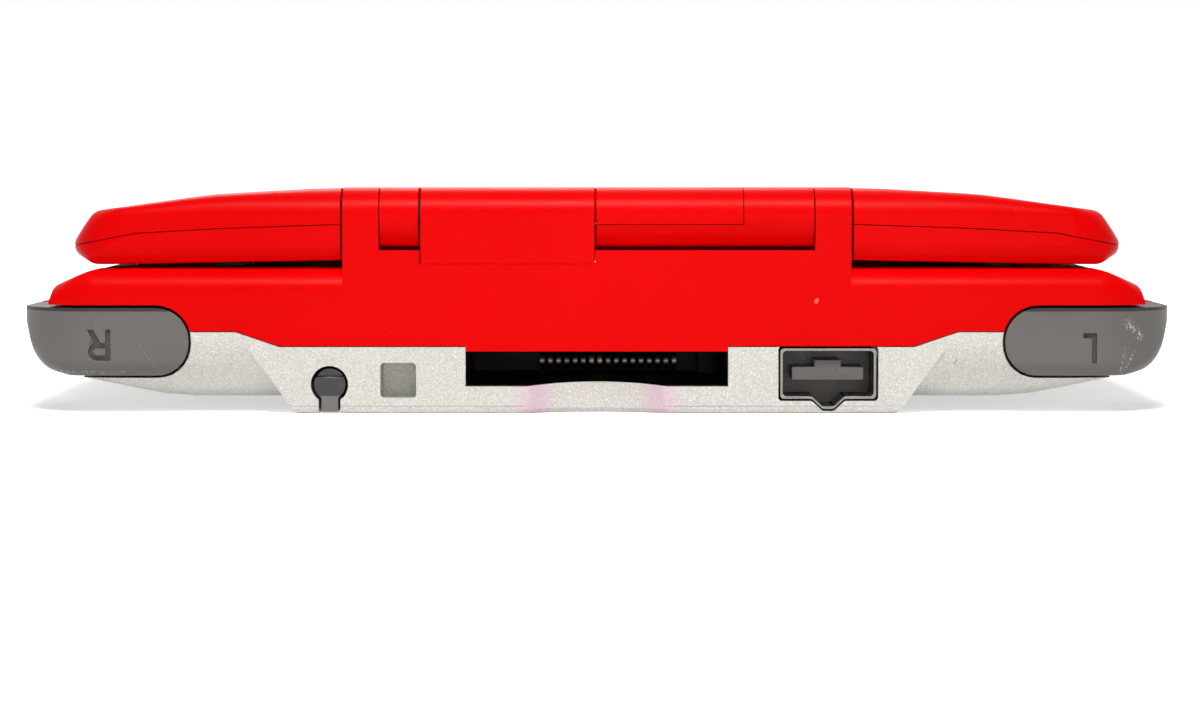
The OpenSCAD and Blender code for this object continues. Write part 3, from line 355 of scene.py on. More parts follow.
buttonLook = dict(plainPlastic, dark=(0.14, 0.135, 0.13), light=(0.18, 0.172, 0.165), rough=(0.24, 0.33),
                  grainDepth=0.003, shine=0.22)
rubberLook = dict(plainPlastic, dark=(0.085, 0.083, 0.08), light=(0.12, 0.117, 0.113), rough=(0.65, 0.8),
                  grainSize=0.4, grainDepth=0.01, hairShow=0.02)
domeLook = dict(plainPlastic, dark=(0.52, 0.51, 0.49), light=(0.62, 0.61, 0.58), rough=(0.55, 0.7),
                driftSize=6)
batteryLook = dict(plainPlastic, dark=(0.12, 0.13, 0.15), light=(0.17, 0.18, 0.2), rough=(0.3, 0.42))


def silverFinish(look):
    # metal flakes: small cells each with its own tone and tilt, under a clear coat
    finish, tree, shader, place = newFinish("silverPaint")
    split = tree.nodes.new("ShaderNodeSeparateColor")
    tree.links.new(cells(tree, place, look["flakeSize"], "Color"), split.inputs[0])
    tone = between(tree, ranged(tree, split.outputs[0], 0, 1, 0.0, 1.0), look["dark"], look["light"])
    tone = between(tree, ranged(tree, split.outputs[1], 0, 1, look["sparkFrom"], 1.0), tone, look["spark"])
    drift = ranged(tree, grain(tree, place, look["hazeSize"], 3), 0, 1)
    tone = between(tree, joinMath(tree, "MULTIPLY", drift, look["hazeShow"]), tone, look["haze"])
    tone = withStrokes(tree, place, tone, look["strokes"])
    tree.links.new(tone, shader.inputs["Base Color"])
    shader.inputs["Metallic"].default_value = look["metal"]
    tree.links.new(ranged(tree, split.outputs[2], *look["rough"], 0.0, 1.0), shader.inputs["Roughness"])
    shader.inputs["Coat Weight"].default_value = look["coat"]
    shader.inputs["Coat Roughness"].default_value = look["coatRough"]
    dented(tree, shader, split.outputs[1], look["flakeDepth"])
    return finish


# painted reflection of the red shell, pink at the scoop's two ends, then two faint scratches on the left wing
silverStrokes = [{"start": (x, 41.6, 0.2), "end": (x, 41.6, 3.2), "width": 0.9, "fade": 2.2, "show": 0.6,
                  "flat": False, "tone": (0.74, 0.50, 0.64)} for x in (-8.2, 8.2)]
silverStrokes += [{"start": (-47.0 + x, 42, 8.4), "end": (-45.8 + x, 42, 6.4 + z), "width": 0.05,
                   "fade": 0.12, "show": show, "patch": 1.2, "tone": (0.3, 0.3, 0.285)}
                  for x, z, show in ((0, 0, 0.75), (0.85, 0.5, 0.5))]
silverLook = {
    "flakeSize": 0.14, "flakeDepth": 0.0035, "dark": (0.53, 0.53, 0.49), "light": (0.75, 0.75, 0.695),
    "spark": (0.95, 0.95, 0.90), "sparkFrom": 0.93,
    "haze": (0.62, 0.615, 0.575), "hazeSize": 22, "hazeShow": 0.12,
    "metal": 0.22, "rough": (0.38, 0.55), "coat": 0.08, "coatRough": 0.18, "strokes": silverStrokes,
}


def metalFinish(name, look):
    # brushed metal: long thin noise one way tones it and dents it
    finish, tree, shader, place = newFinish(name)
    brush = grain(tree, stretched(tree, place, look["turn"], look["brushScale"]), look["brushSize"], 3, 0.6)
    blot = grain(tree, place, look["blotSize"], 3)
    tone = between(tree, ranged(tree, brush, 0, 1), look["dark"], look["light"])
    stain = joinMath(tree, "MULTIPLY", ranged(tree, blot, 0, 1, *look["stainSpan"]), look["stainShow"])
    tone = between(tree, stain, tone, look["stain"])
    if "dim" in look:
        # painted shade: darker from the opening inwards, as the socket's hollow is shadowed
        inside = ranged(tree, axisOf(tree, place, 1), 1, 0, *(y * mm for y in look["dim"]))
        tone = between(tree, inside, tone, look["dimTone"])
    tree.links.new(tone, shader.inputs["Base Color"])
    shader.inputs["Metallic"].default_value = look["metal"]
    tree.links.new(ranged(tree, blot, *look["rough"]), shader.inputs["Roughness"])
    dented(tree, shader, brush, look["brushDepth"])
    return finish


steelLook = {
    "turn": (0, 0, 0), "brushScale": (1, 0.05, 1), "brushSize": 0.2, "brushDepth": 0.003, "blotSize": 4,
    "dark": (0.52, 0.515, 0.5), "light": (0.74, 0.735, 0.71), "rough": (0.22, 0.36), "metal": 1.0,
    "stain": (0.5, 0.48, 0.44), "stainSpan": (0.5, 0.75), "stainShow": 0.35,
}
goldLook = dict(steelLook, turn=(0, 0, 90), brushSize=0.15, dark=(0.72, 0.5, 0.2), light=(0.9, 0.68, 0.33),
                stain=(0.55, 0.36, 0.16), rough=(0.2, 0.32))
springLook = dict(goldLook, dark=(0.07, 0.066, 0.06), light=(0.12, 0.113, 0.1), rough=(0.14, 0.22))
# the socket's steel, with painted shade deeper inside its opening
socketLook = dict(steelLook, dark=(0.2, 0.193, 0.185), light=(0.28, 0.27, 0.255), dim=(41.35, 41.85),
                  dimTone=(0.035, 0.032, 0.028), metal=0.6)
# a near-black copy of steel: painted shade for parts that show only through gaps
shadedSteelLook = dict(steelLook, dark=(0.03, 0.028, 0.026), light=(0.05, 0.048, 0.045),
                     stain=(0.03, 0.02, 0.02), rough=(0.8, 0.9), metal=0.3)

boardLook = {
    "tracks": {"Scale": 260.0, "Mortar Size": 0.035, "Mortar": (0.05, 0.26, 0.1, 1),
               "Color1": (0.012, 0.11, 0.045, 1), "Color2": (0.016, 0.14, 0.055, 1)},
    "shade": (0.01, 0.09, 0.04), "shadeSize": 12, "shadeShow": 0.4,
    "blotSize": 1.2, "rough": (0.25, 0.4), "depth": 0.02,
}
displayLook = {
    "scale": 420.0, "dark": (0.032, 0.037, 0.036), "light": (0.045, 0.051, 0.049),
    "smudge": (0.075, 0.08, 0.078), "smudgeSize": 14, "smudgeSpan": (0.45, 0.7), "smudgeShow": 0.25,
    "rough": (0.06, 0.16), "coat": 0.6, "coatRough": 0.04, "depth": 0.002,
}
windowLook = {
    "dark": (0.012, 0.012, 0.013), "light": (0.022, 0.022, 0.023),
    "smudgeSize": 9, "smudgeSpan": (0.45, 0.68),
    "rough": (0.05, 0.14), "coat": 0.4, "coatRough": 0.03, "depth": 0.002,
}
ledLook = {
    "dark": (0.28, 0.62, 0.30), "light": (0.45, 0.78, 0.46), "cloud": 0.6, "rough": (0.1, 0.22), "coat": 0.5,
    "coatRough": 0.03,
}


def boardFinish(look):
    # green lacquer with paler tracks on a fine grid of cells
    finish, tree, shader, place = newFinish("boardLacquer")
    track = tree.nodes.new("ShaderNodeTexBrick")
    for key, value in look["tracks"].items():
        track.inputs[key].default_value = value
    tree.links.new(place, track.inputs["Vector"])
    shade = ranged(tree, grain(tree, place, look["shadeSize"], 2), 0, look["shadeShow"])
    tree.links.new(between(tree, shade, track.outputs["Color"], look["shade"]), shader.inputs["Base Color"])
    rough = ranged(tree, grain(tree, place, look["blotSize"], 3), *look["rough"])
    tree.links.new(rough, shader.inputs["Roughness"])
    dented(tree, shader, track.outputs["Fac"], look["depth"])
    return finish


def glaze(tree, shader, source, look):
    # roughness that follows source from 0 to 1, under a clear coat
    tree.links.new(ranged(tree, source, *look["rough"], 0, 1), shader.inputs["Roughness"])
    shader.inputs["Coat Weight"].default_value = look["coat"]
    shader.inputs["Coat Roughness"].default_value = look["coatRough"]


def displayFinish(look):
    # dark liquid crystal under glass, faint rows of pixels
    finish, tree, shader, place = newFinish("displayGlass")
    rows = tree.nodes.new("ShaderNodeTexWave")
    rows.bands_direction = "Y"
    rows.inputs["Scale"].default_value = look["scale"]
    tree.links.new(place, rows.inputs["Vector"])
    tone = between(tree, rows.outputs["Fac"], look["dark"], look["light"])
    smudge = ranged(tree, grain(tree, place, look["smudgeSize"], 4), 0, 1, *look["smudgeSpan"])
    tone = between(tree, joinMath(tree, "MULTIPLY", smudge, look["smudgeShow"]), tone, look["smudge"])
    tree.links.new(tone, shader.inputs["Base Color"])
    glaze(tree, shader, smudge, look)
    dented(tree, shader, smudge, look["depth"])
    return finish


def windowFinish(look):
    # black-backed clear window with fingerprints in its roughness
    finish, tree, shader, place = newFinish("windowBlack")
    smudge = ranged(tree, grain(tree, place, look["smudgeSize"], 5, 0.6), 0, 1, *look["smudgeSpan"])
    tree.links.new(between(tree, smudge, look["dark"], look["light"]), shader.inputs["Base Color"])
    glaze(tree, shader, smudge, look)
    dented(tree, shader, smudge, look["depth"])
    return finish


def ledFinish(look):
    # clear green lens, cloudier inside
    finish, tree, shader, place = newFinish("ledLens")
    cloud = ranged(tree, grain(tree, place, look["cloud"], 3), 0, 1)
    tree.links.new(between(tree, cloud, look["dark"], look["light"]), shader.inputs["Base Color"])
    glaze(tree, shader, cloud, look)
    return finish


finishes = {
    "red_plastic": plasticFinish("redGloss", redLook),
    "silver_paint": silverFinish(silverLook),
    "key_plastic": plasticFinish("keyGrey", keyLook),
    "black_plastic": plasticFinish("blackSatin", blackLook),
    "button_plastic": plasticFinish("buttonGrey", buttonLook),
    "steel": metalFinish("pressedSteel", steelLook),
    "gold_contact": metalFinish("goldContact", goldLook),
    "board": boardFinish(boardLook),
    "display": displayFinish(displayLook),
    "window": windowFinish(windowLook),
    "rubber": plasticFinish("padRubber", rubberLook),
    "dome_rubber": plasticFinish("domeRubber", domeLook),
    "battery": plasticFinish("batteryWrap", batteryLook),
    "led": ledFinish(ledLook),
    "socket": metalFinish("socketSteel", socketLook),
    "dark_steel": metalFinish("shadedSteel", shadedSteelLook),
    "spring": metalFinish("springTin", springLook),
    "seam_red": plasticFinish("seamShadeRed", seamShadeLook),
    "stylus": plasticFinish("stylusBlack", stylusLook),
}
print("finishes made:", len(finishes))


# these nodes show only through gaps and get the near-black steel, painted shade
shadedNodes = ("cable_sleeve", "click_barrel", "key_switches")


def dressNodes():
    # every node gets the finish its own material slot names, but what shows only through gaps gets a
    # near-black copy of steel, painted shade
    for name, thing in nodes.items():
        for place in thing.material_slots:
            key = place.material.name.split(".")[0] if place.material else ""
            if name in shadedNodes:
                key = "dark_steel"
            if key in finishes:
                place.material = finishes[key]
            else:
                print("no finish for", name, key)


dressNodes()
print("nodes dressed")


# the shells' smooth outsides

lidForm = {
    "halfX": 68.5, "lowY": -40.75, "highY": 41.55, "lowR": 9.0, "highR": 7.0,
    "top": [(0, 28.9, 0), (34, 28.9, 60), (50, 27.95, 20), (64.7, 25.9, 2.4), (68.5, 20.9, 0)],
    "under": [(0, 18.95, 0), (64.7, 18.95, 3), (68.5, 20.9, 0)],
    "tip": ((64.7, 18.95, 0), (68.5, 20.9, 1.5), (64.7, 25.9, 0)),
    "sideTop": [(-40.75, 20, 0), (-40.75, 27.3, 3.45), (41.55, 28.9, 3.95), (41.55, 20, 0)],
    "sideUnder": [(-40.75, 24, 0), (-40.75, 18.95, 2.45), (41.55, 18.95, 2.85), (41.55, 24, 0)],
    "cornerR": (3.0, 1.2), "share": 0.42, "sideR": 4.0, "inset": 6.6,
}
bodyForm = {
    "halfX": 74.35, "lowY": -42.35, "highY": 42.35, "lowR": 8.0, "highR": 10.0,
    "top": [(0, 18.6, 0), (64.45, 18.6, 9), (74.7, 14.15, 0)],
    "under": [(0, 1.8, 0), (54.35, 1.8, 30), (72.35, 5.7, 5), (74.35, 10.2, 0)],
    "tip": None,
    "sideTop": [(-42.35, 12, 0), (-42.35, 18.6, 3.05), (42.35, 18.6, 3.25), (42.35, 12, 0)],
    "sideUnder": [(-42.35, 12, 0), (-42.35, 1.8, 6.05), (42.35, 1.8, 7.55), (42.35, 12, 0)],
    "cornerR": (2.2, 3.0), "share": 0.42, "sideR": 7.5, "inset": 8.0,
}
keyForm = dict(bodyForm, under=[(0, 4.2, 0), (65.43, 4.2, 0), (72.35, 5.7, 5), (74.35, 10.2, 0)],
               sideUnder=[(-42.35, 12, 0), (-42.35, 4.2, 2.65), (42.35, 4.2, 2.65), (42.35, 12, 0)],
               cornerR=(2.2, 2.2))
skinGap = 0.04   # how far the smooth outside lies within the solid
leastR = 1.6     # the least rounding of the plan's edge
underEnd = 0.8   # how far the body's underside is carried up at its widest
weld = 0.002     # points nearer than this are one
blankRows = {"nose": 25, "side": 30, "arc": 15, "rim": 15, "core": 24, "crowd": 1.6}

# what stays of the solids beyond the smooth outsides: outlines in x and z, from front to rear in y
rearSkin = bodyForm["highY"] - skinGap
keeps = {
    "block": {"outline": [(-38.7, -0.5), (38.7, -0.5), (46.7, 10.38), (-46.7, 10.38)],
              "front": bodyForm["lowY"] + skinGap, "rear": rearSkin},
    "hinge": {"outline": [(-32.51, 15), (32.51, 15), (32.51, 30), (-32.51, 30)],
              "front": 34.6, "rear": rearSkin},
    "notch": {"outline": [(-32.84, 18), (32.84, 18), (32.84, 28.86), (-32.84, 28.86)],
              "front": 34.0, "rear": 43},
}


def roundedLine(corners, steps=12):
    # a line through corners (x, z, radius); each rounded corner is an arc that touches both its sides
    line = [np.array([corners[0][:2]], float)]
    for before, corner, after in zip(corners[:-2], corners[1:-1], corners[2:]):
        tip, radius = np.array(corner[:2], float), corner[2]
        back, ahead = np.array(before[:2]) - tip, np.array(after[:2]) - tip
        back, ahead = back / np.linalg.norm(back), ahead / np.linalg.norm(ahead)
        if radius <= 0:
            line.append(tip[None])
            continue
        half = math.acos(np.clip(back @ ahead, -1, 1)) / 2
        bisector = (back + ahead) / np.linalg.norm(back + ahead)
        middle = tip + bisector * radius / math.sin(half)
        first, last = (tip + way * radius / math.tan(half) - middle for way in (back, ahead))
        start = math.atan2(first[1], first[0])
        turn = (math.atan2(last[1], last[0]) - start + 3 * math.pi) % (2 * math.pi) - math.pi
        angle = start + turn * np.linspace(0, 1, steps)
        line.append(middle + radius * np.stack([np.cos(angle), np.sin(angle)], -1))
    line.append(np.array([corners[-1][:2]], float))
    return np.vstack(line)


def planRing(form, halfX, arcSteps=22, longSteps=30, shortSteps=16):
    # a rounded rectangle seen from above: four quarter arcs and the runs between them,
    # as points and the directions that point outwards there
    halfX, low, high = halfX - skinGap, form["lowY"] + skinGap, form["highY"] - skinGap
    lowR, highR = form["lowR"], form["highR"]
    middles = [(halfX - highR, high - highR, highR, 0), (highR - halfX, high - highR, highR, 90),
               (lowR - halfX, low + lowR, lowR, 180), (halfX - lowR, low + lowR, lowR, 270)]
    arcs = []
    for x, y, r, start in middles:
        angle = np.radians(start + 90 * np.linspace(0, 1, arcSteps))
        way = np.stack([np.cos(angle), np.sin(angle)], -1)
        arcs.append((np.array([x, y]) + r * way, way))
    points, ways = [], []
    for i, (arc, way) in enumerate(arcs):
        steps = longSteps if i % 2 == 0 else shortSteps
        run = np.linspace(0, 1, steps + 2)[1:-1, None]
        points += [arc, arc[-1] + (arcs[(i + 1) % 4][0][0] - arc[-1]) * run]
        ways += [way, np.repeat(way[-1:], steps, 0)]
    return np.vstack(points), np.vstack(ways)


def smoothBlank(name, form):
    # rings round the plan outline, each at an inset d from it. The drop below the highest level is the cube
    # root of the summed cubes of two drops, that of the cross-section's line at x and that of the side line
    # at y, so that the two blend. At the plan's corners a quarter circle of radius r takes off
    # r (1 - sin a) more, where d = r (1 - cos a).
    lines = {}
    for key in ("top", "under"):
        line = roundedLine(form[key])
        if form["tip"]:
            nose = roundedLine(form["tip"] if key == "under" else form["tip"][::-1], blankRows["nose"])
            nose = nose[1:int(np.argmax(nose[:, 0])) + 1]
            line = np.vstack([line[line[:, 0] < nose[0, 0]], nose])
        elif key == "under":
            line = np.vstack([line[:-1], [(form["halfX"], line[-1, 1] + underEnd)]])
        lines[key] = line
    sides = {key: roundedLine(form[side], blankRows["side"])[1:-1]
             for key, side in (("top", "sideTop"), ("under", "sideUnder"))}
    halfX = min(form["halfX"], lines["top"][-1, 0])
    ring, way = planRing(form, halfX)
    diagonal = np.sqrt(2 * np.abs(way[:, 0] * way[:, 1]))
    insetMiddle = np.array([0.0, (form["lowY"] + form["highY"]) / 2])

    def level(flat, key):
        # the height of the top or the underside at points seen from above
        line, side = lines[key], sides[key]
        sign, farther = (1, max) if key == "top" else (-1, min)
        peak = farther(line[0, 1], farther(side[:, 1]))
        fromX = np.interp(np.abs(flat[:, 0]) + skinGap, line[:, 0], line[:, 1])
        reach = flat[:, 1] + np.where(flat[:, 1] > 0, skinGap, -skinGap)
        fromY = np.interp(reach, side[:, 0], side[:, 1])
        drops = [np.maximum(sign * (peak - z), 0) for z in (fromX, fromY)]
        return peak - sign * (skinGap + np.cbrt(drops[0] ** 3 + drops[1] ** 3))

    def half(key, sign, radius):
        # rows from the outline inwards
        spread = np.maximum(form["sideR"] * np.abs(way[:, 1]), leastR)
        insets = [spread * (1 - math.cos(a)) for a in np.radians(np.linspace(0, 90, blankRows["arc"]))]
        shares = np.linspace(0, 1, blankRows["rim"] + 1)[1:] ** blankRows["crowd"]
        insets += [spread + (form["inset"] - spread) * share for share in shares]
        rows = []
        for inset in insets:
            flat = ring - way * inset[:, None]
            turn = np.clip(1 - inset / np.maximum(radius, 1e-6), 0, 1)
            rows.append((flat, level(flat, key) - sign * radius * (1 - np.sqrt(1 - turn ** 2))))
        core = ring - way * form["inset"]
        for scale in np.linspace(1, 0, blankRows["core"] + 2)[1:-1]:
            flat = insetMiddle + (core - insetMiddle) * scale
            rows.append((flat, level(flat, key)))
        return rows

    room = form["share"] * np.maximum(level(ring, "top") - level(ring, "under"), 0)
    upper = half("top", 1, np.minimum(form["cornerR"][0] * diagonal, room))
    lower = half("under", -1, np.minimum(form["cornerR"][1] * diagonal, room))
    for i in range(len(upper)):
        # where the two would cross, both take the height halfway
        high, low = upper[i][1], lower[i][1]
        mean = (high + low) / 2
        upper[i], lower[i] = (upper[i][0], np.maximum(high, mean)), (lower[i][0], np.minimum(low, mean))
    rows = upper[::-1] + lower
    points = np.stack([np.column_stack([flat, z]) for flat, z in rows])
    rowCount, count = points.shape[:2]
    i, k = np.meshgrid(np.arange(rowCount - 1), np.arange(count), indexing="ij")
    a, b = (i * count + k).ravel(), (i * count + (k + 1) % count).ravel()
    quads = np.stack([a, a + count, b + count, b], -1).tolist()
    quads += [list(range(count)), list(range(rowCount * count - 1, (rowCount - 1) * count - 1, -1))]
    thing = meshFrom(name, points.reshape(-1, 3) * mm, quads)
    closeUp(thing, weld)
    return thing


def closeUp(thing, gap, turn=True):
    # merges points nearer than gap millimetres and turns the faces outwards
    work = bmesh.new()
    work.from_mesh(thing.data)
    bmesh.ops.remove_doubles(work, verts=work.verts, dist=gap * mm)
    if turn:
        bmesh.ops.recalc_face_normals(work, faces=work.faces)
    work.to_mesh(thing.data)
    work.free()


def prism(name, outline, low, high, along="Y"):
    # a flat outline in x and z carried straight from low to high along Y, or one in x and y along Z
    flat = np.asarray(outline, float)
    n = len(flat)
    order = [0, 2, 1] if along == "Y" else [0, 1, 2]
    points = np.vstack([np.column_stack([flat, np.full(n, end)])[:, order] for end in (low, high)]) * mm
    k = np.arange(n)
    sides = np.stack([k, (k + 1) % n, (k + 1) % n + n, k + n], -1).tolist()
    thing = meshFrom(name, points, sides + [list(range(n))[::-1], list(range(n, 2 * n))], smooth=False)
    closeUp(thing, 0.0001)
    return thing


def settle(thing):
    # applies the modifiers, so that the mesh itself has their result
    graph = bpy.context.evaluated_depsgraph_get()
    done = bpy.data.meshes.new_from_object(thing.evaluated_get(graph), depsgraph=graph)
    done.name = thing.name
    thing.modifiers.clear()
    thing.data = done


def carve(thing, tool, how, keepTool=False):
    # joins, cuts or keeps what the two share
    step = thing.modifiers.new("carve", "BOOLEAN")
    step.operation, step.solver, step.object = how, "EXACT", tool
    settle(thing)
    if not keepTool:
        bpy.data.objects.remove(tool)


def copyOf(node, name):
    # the node's mesh with its loose triangles merged
    thing = bpy.data.objects.new(name, nodes[node].data.copy())
    bpy.context.scene.collection.objects.link(thing)
    closeUp(thing, 0.001, turn=False)
    return thing


def tidyFaces(thing, angle=0.5):
    # merges near points and joins faces that lie within angle degrees of one plane
    work = bmesh.new()
    work.from_mesh(thing.data)
    bmesh.ops.remove_doubles(work, verts=work.verts, dist=weld * mm)
    bmesh.ops.dissolve_degenerate(work, edges=work.edges, dist=weld * mm)
    bmesh.ops.dissolve_limit(work, angle_limit=math.radians(angle), verts=work.verts, edges=work.edges)
    work.to_mesh(thing.data)
    work.free()


def bevelEdges(thing, width, angle=38):
    # rounds the edges that turn by more than angle degrees
    edge = thing.modifiers.new("edge", "BEVEL")
    edge.width, edge.segments, edge.limit_method = width * mm, 2, "ANGLE"
    edge.angle_limit = math.radians(angle)
    edge.harden_normals = False
    settle(thing)


def shadeSmooth(thing, shade=32):
    # smooth shading that still breaks at what is left sharp, weighted by the faces' sizes
    data = thing.data
    data.polygons.foreach_set("use_smooth", np.ones(len(data.polygons), bool))
    data.set_sharp_from_angle(angle=math.radians(shade))
    normals = thing.modifiers.new("normals", "WEIGHTED_NORMAL")
    normals.keep_sharp = True


letterShape = {"waist": 0.43, "bowl": 0.58, "legLeft": 0.36, "legRight": 0.66, "foot": 1.2}


def strokesOf(look):
    # the outlines of a letter's strokes, upright, from its lower left corner
    wide, tall, pen = look["wide"], look["tall"], look["pen"]
    stem = [(0, 0), (pen, 0), (pen, tall), (0, tall)]
    if look["text"] == "L":
        return [stem, [(pen / 2, 0), (wide, 0), (wide, pen), (pen / 2, pen)]]
    waist = tall * letterShape["waist"]
    outer = (tall - waist) / 2
    turn = np.radians(np.linspace(90, -90, 15))
    middle = np.array([wide * letterShape["bowl"], (tall + waist) / 2])
    around = [middle + r * np.stack([np.cos(turn), np.sin(turn)], -1) for r in (outer, outer - pen)]
    bowl = [(pen / 2, tall), *around[0], (pen / 2, waist), (pen / 2, waist + pen), *around[1][::-1],
            (pen / 2, tall - pen)]
    knee = [(wide * letterShape[side], waist + pen / 2) for side in ("legLeft", "legRight")]
    leg = [*knee, (wide, 0), (wide - pen * letterShape["foot"], 0)]
    return [stem, bowl, leg]


def cutLetter(thing, look):
    # a letter sunk into the rear face, upside down from behind
    rear = bodyForm["highY"]
    for stroke in strokesOf(look):
        outline = [(look["x"] + u - look["wide"] / 2, look["z"] + look["tall"] / 2 - v) for u, v in stroke]
        carve(thing, prism("stroke", outline, rear - look["deep"], rear + beyond), "DIFFERENCE")


letters = {
    "rightKey": {"text": "R", "x": 63.67, "z": 8.75, "wide": 3.05, "tall": 4.0, "deep": 0.4, "pen": 0.7},
    "leftKey": {"text": "L", "x": -63.05, "z": 8.35, "wide": 1.75, "tall": 3.9, "deep": 0.4, "pen": 0.68},
}


def setPiece(thing, body, slot, *stands, finish=None):
    # gives a piece its finish, which is the slot's own unless another is named, the body it rides on, and
    # hides the nodes that it stands for
    thing.data.materials.clear()
    thing.data.materials.append(finishes[finish or slot])
    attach(thing, body)
    if stands:
        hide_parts(*stands)


# each wall of the finger scoop: how far it lies behind the scoop's arc, its top, and that top's rise midway
scoop = {
    "wide": 18.8, "deep": 3.2, "share": 0.985, "low": 0.6, "thick": 0.5, "rearGap": 0.06,
    "walls": [{"back": 0.3, "high": 2.8, "arch": 0.0}, {"back": -0.03, "high": 3.43, "arch": 0.5}],
}
strap = {"x": 25.4, "wide": 4.6, "tall": 4.5, "low": 2.0, "deep": 0.1, "near": 0.03, "round": 0.55}
notch = {"x": -29.6, "reach": 3.0, "high": 2.6, "front": 36, "round": 0.7}
rim = {"half": 39.9, "line": (0.88, 1.0), "deep": 0.1}
pins = {"x": 55.2, "y": 39.25, "seat": 1.5, "low": 3.0, "high": 4.25, "gap": 0.03, "top": 20,
        "around": [(-80, 20), (80, 20), (80, 50), (-80, 50)]}
beyond = 1   # how far a cutter runs out past a face


def plug(x):
    # closes the lower shell's skin under a key's pin
    turn = np.linspace(0, 2 * math.pi, 33)[:-1]
    outline = np.stack([x + pins["seat"] * np.cos(turn), pins["y"] + pins["seat"] * np.sin(turn)], -1)
    return prism("plug", outline, pins["low"], pins["high"], "Z")


def pointsOf(thing):
    points = np.empty(len(thing.data.vertices) * 3)
    thing.data.vertices.foreach_get("co", points)
    return points.reshape(-1, 3)


def setPoints(thing, points):
    thing.data.vertices.foreach_set("co", points.ravel())
    thing.data.update()


def archTop(thing, level, half, rise):
    # lifts the top's points by the rise times one less the square of x over the half width
    points = pointsOf(thing)
    top = np.abs(points[:, 2] / mm - level) < 0.01
    lift = rise * np.clip(1 - (points[:, 0] / mm / half) ** 2, 0, 1)
    points[top, 2] += lift[top] * mm
    setPoints(thing, points)


def raiseScoop(thing):
    # the scoop's wall, an arc of radius (w^2/4 + d^2) / 2d, is carried up to the card slot's floor
    rear, half, deep = bodyForm["highY"], scoop["wide"] / 2, scoop["deep"]
    reach = (half ** 2 + deep ** 2) / (2 * deep)
    middle = rear - deep + reach
    span = math.asin(half * scoop["share"] / reach)
    angle = np.linspace(-span, span, 41)
    for wall in scoop["walls"]:
        sides = [np.stack([r * np.sin(angle), middle - r * np.cos(angle)], -1)
                 for r in (reach + wall["back"], reach - scoop["thick"])]
        outline = np.vstack([sides[0], sides[1][::-1]])
        outline[:, 1] = np.minimum(outline[:, 1], rear - scoop["rearGap"])
        lip = prism("lip", outline, scoop["low"], wall["high"], "Z")
        archTop(lip, wall["high"], half, wall["arch"])
        carve(thing, lip, "UNION")


def roundAlong(thing, wanted, width, near=0.01, shortest=0.3, leastTurn=0.3):
    # rounds the edges along Y whose x, z and greatest y are wanted, where they are longer than shortest
    # millimetres and turn by more than leastTurn radians
    work = bmesh.new()
    work.from_mesh(thing.data)
    picked = []
    for edge in work.edges:
        a, b = (v.co / mm for v in edge.verts)
        straight = abs(a.x - b.x) < near and abs(a.z - b.z) < near and abs(a.y - b.y) > shortest
        if straight and wanted(a.x, a.z, max(a.y, b.y)) and edge.calc_face_angle(0) > leastTurn:
            picked.append(edge)
    bmesh.ops.bevel(work, geom=picked, offset=width * mm, segments=4, affect="EDGES", profile=0.5)
    print(thing.name, "edges rounded:", len(picked))
    work.to_mesh(thing.data)
    work.free()


def atStrap(x, z, y):
    # the strap hole's four corners
    side = abs(abs(x - strap["x"]) - strap["wide"] / 2) < strap["near"]
    level = min(abs(z - strap["low"]), abs(z - strap["low"] - strap["tall"])) < strap["near"]
    return side and level and y > bodyForm["highY"] - strap["deep"]


def atNotch(x, z, y):
    # the corners of the notch below the power socket
    return abs(x - notch["x"]) < notch["reach"] and z < notch["high"] and y > notch["front"]


def finishLower(thing):
    raiseScoop(thing)
    roundAlong(thing, atStrap, strap["round"])
    roundAlong(thing, atNotch, notch["round"])
    # a fine line along the centre block's lower edge
    low, high = rim["line"]
    line = prism("line", [(-rim["half"], low), (rim["half"], low), (rim["half"], high), (-rim["half"], high)],
                 rearSkin - rim["deep"], bodyForm["highY"] + beyond)
    carve(thing, line, "DIFFERENCE")


# in the order that they are made: name, node, blank, body, slot and how wide its edges are rounded
shellPieces = [
    ("lowerShell", "lower_shell", "body", "base", "silver_paint", 0.12),
    ("deckShell", "deck_shell", "body", "base", "red_plastic", 0.12),
    ("rightKey", "right_shoulder_key", "key", "right_key", "key_plastic", 0.18),
    ("leftKey", "left_shoulder_key", "key", "left_key", "key_plastic", 0.18),
    ("lidOuter", "lid_outer_shell", "lid", "lid", "red_plastic", 0.1),
    ("lidInner", "lid_inner_shell", "lid", "lid", "red_plastic", 0.1),
]


def makeBlanks():
    blanks = {}
    for name, form, kept in (
            ("body", bodyForm, ("block", "hinge")), ("key", keyForm, ()), ("lid", lidForm, ("notch",))):
        blanks[name] = smoothBlank(name + "Blank", form)
        for key in kept:
            look = keeps[key]
            carve(blanks[name], prism(key + "Keep", look["outline"], look["front"], look["rear"]), "UNION")
    print("blanks made:", len(blanks))
    return blanks


def makeShells(blanks):
    for name, node, blank, body, slot, edge in shellPieces:
        thing = copyOf(node, name)
        if name == "lowerShell":
            for x in (-pins["x"], pins["x"]):
                carve(thing, plug(x), "UNION")
        carve(thing, blanks[blank], "INTERSECT", keepTool=True)
        tidyFaces(thing)
        if name == "lowerShell":
            finishLower(thing)
        bevelEdges(thing, edge)
        if name in letters:
            cutLetter(thing, letters[name])
        shadeSmooth(thing)
        setPiece(thing, body, slot, node)
        print(name, len(thing.data.polygons), "faces")
    for blank in blanks.values():
        bpy.data.objects.remove(blank)


makeShells(makeBlanks())
print("shells made")


# smaller pieces, each a copy of its solid with rounded edges

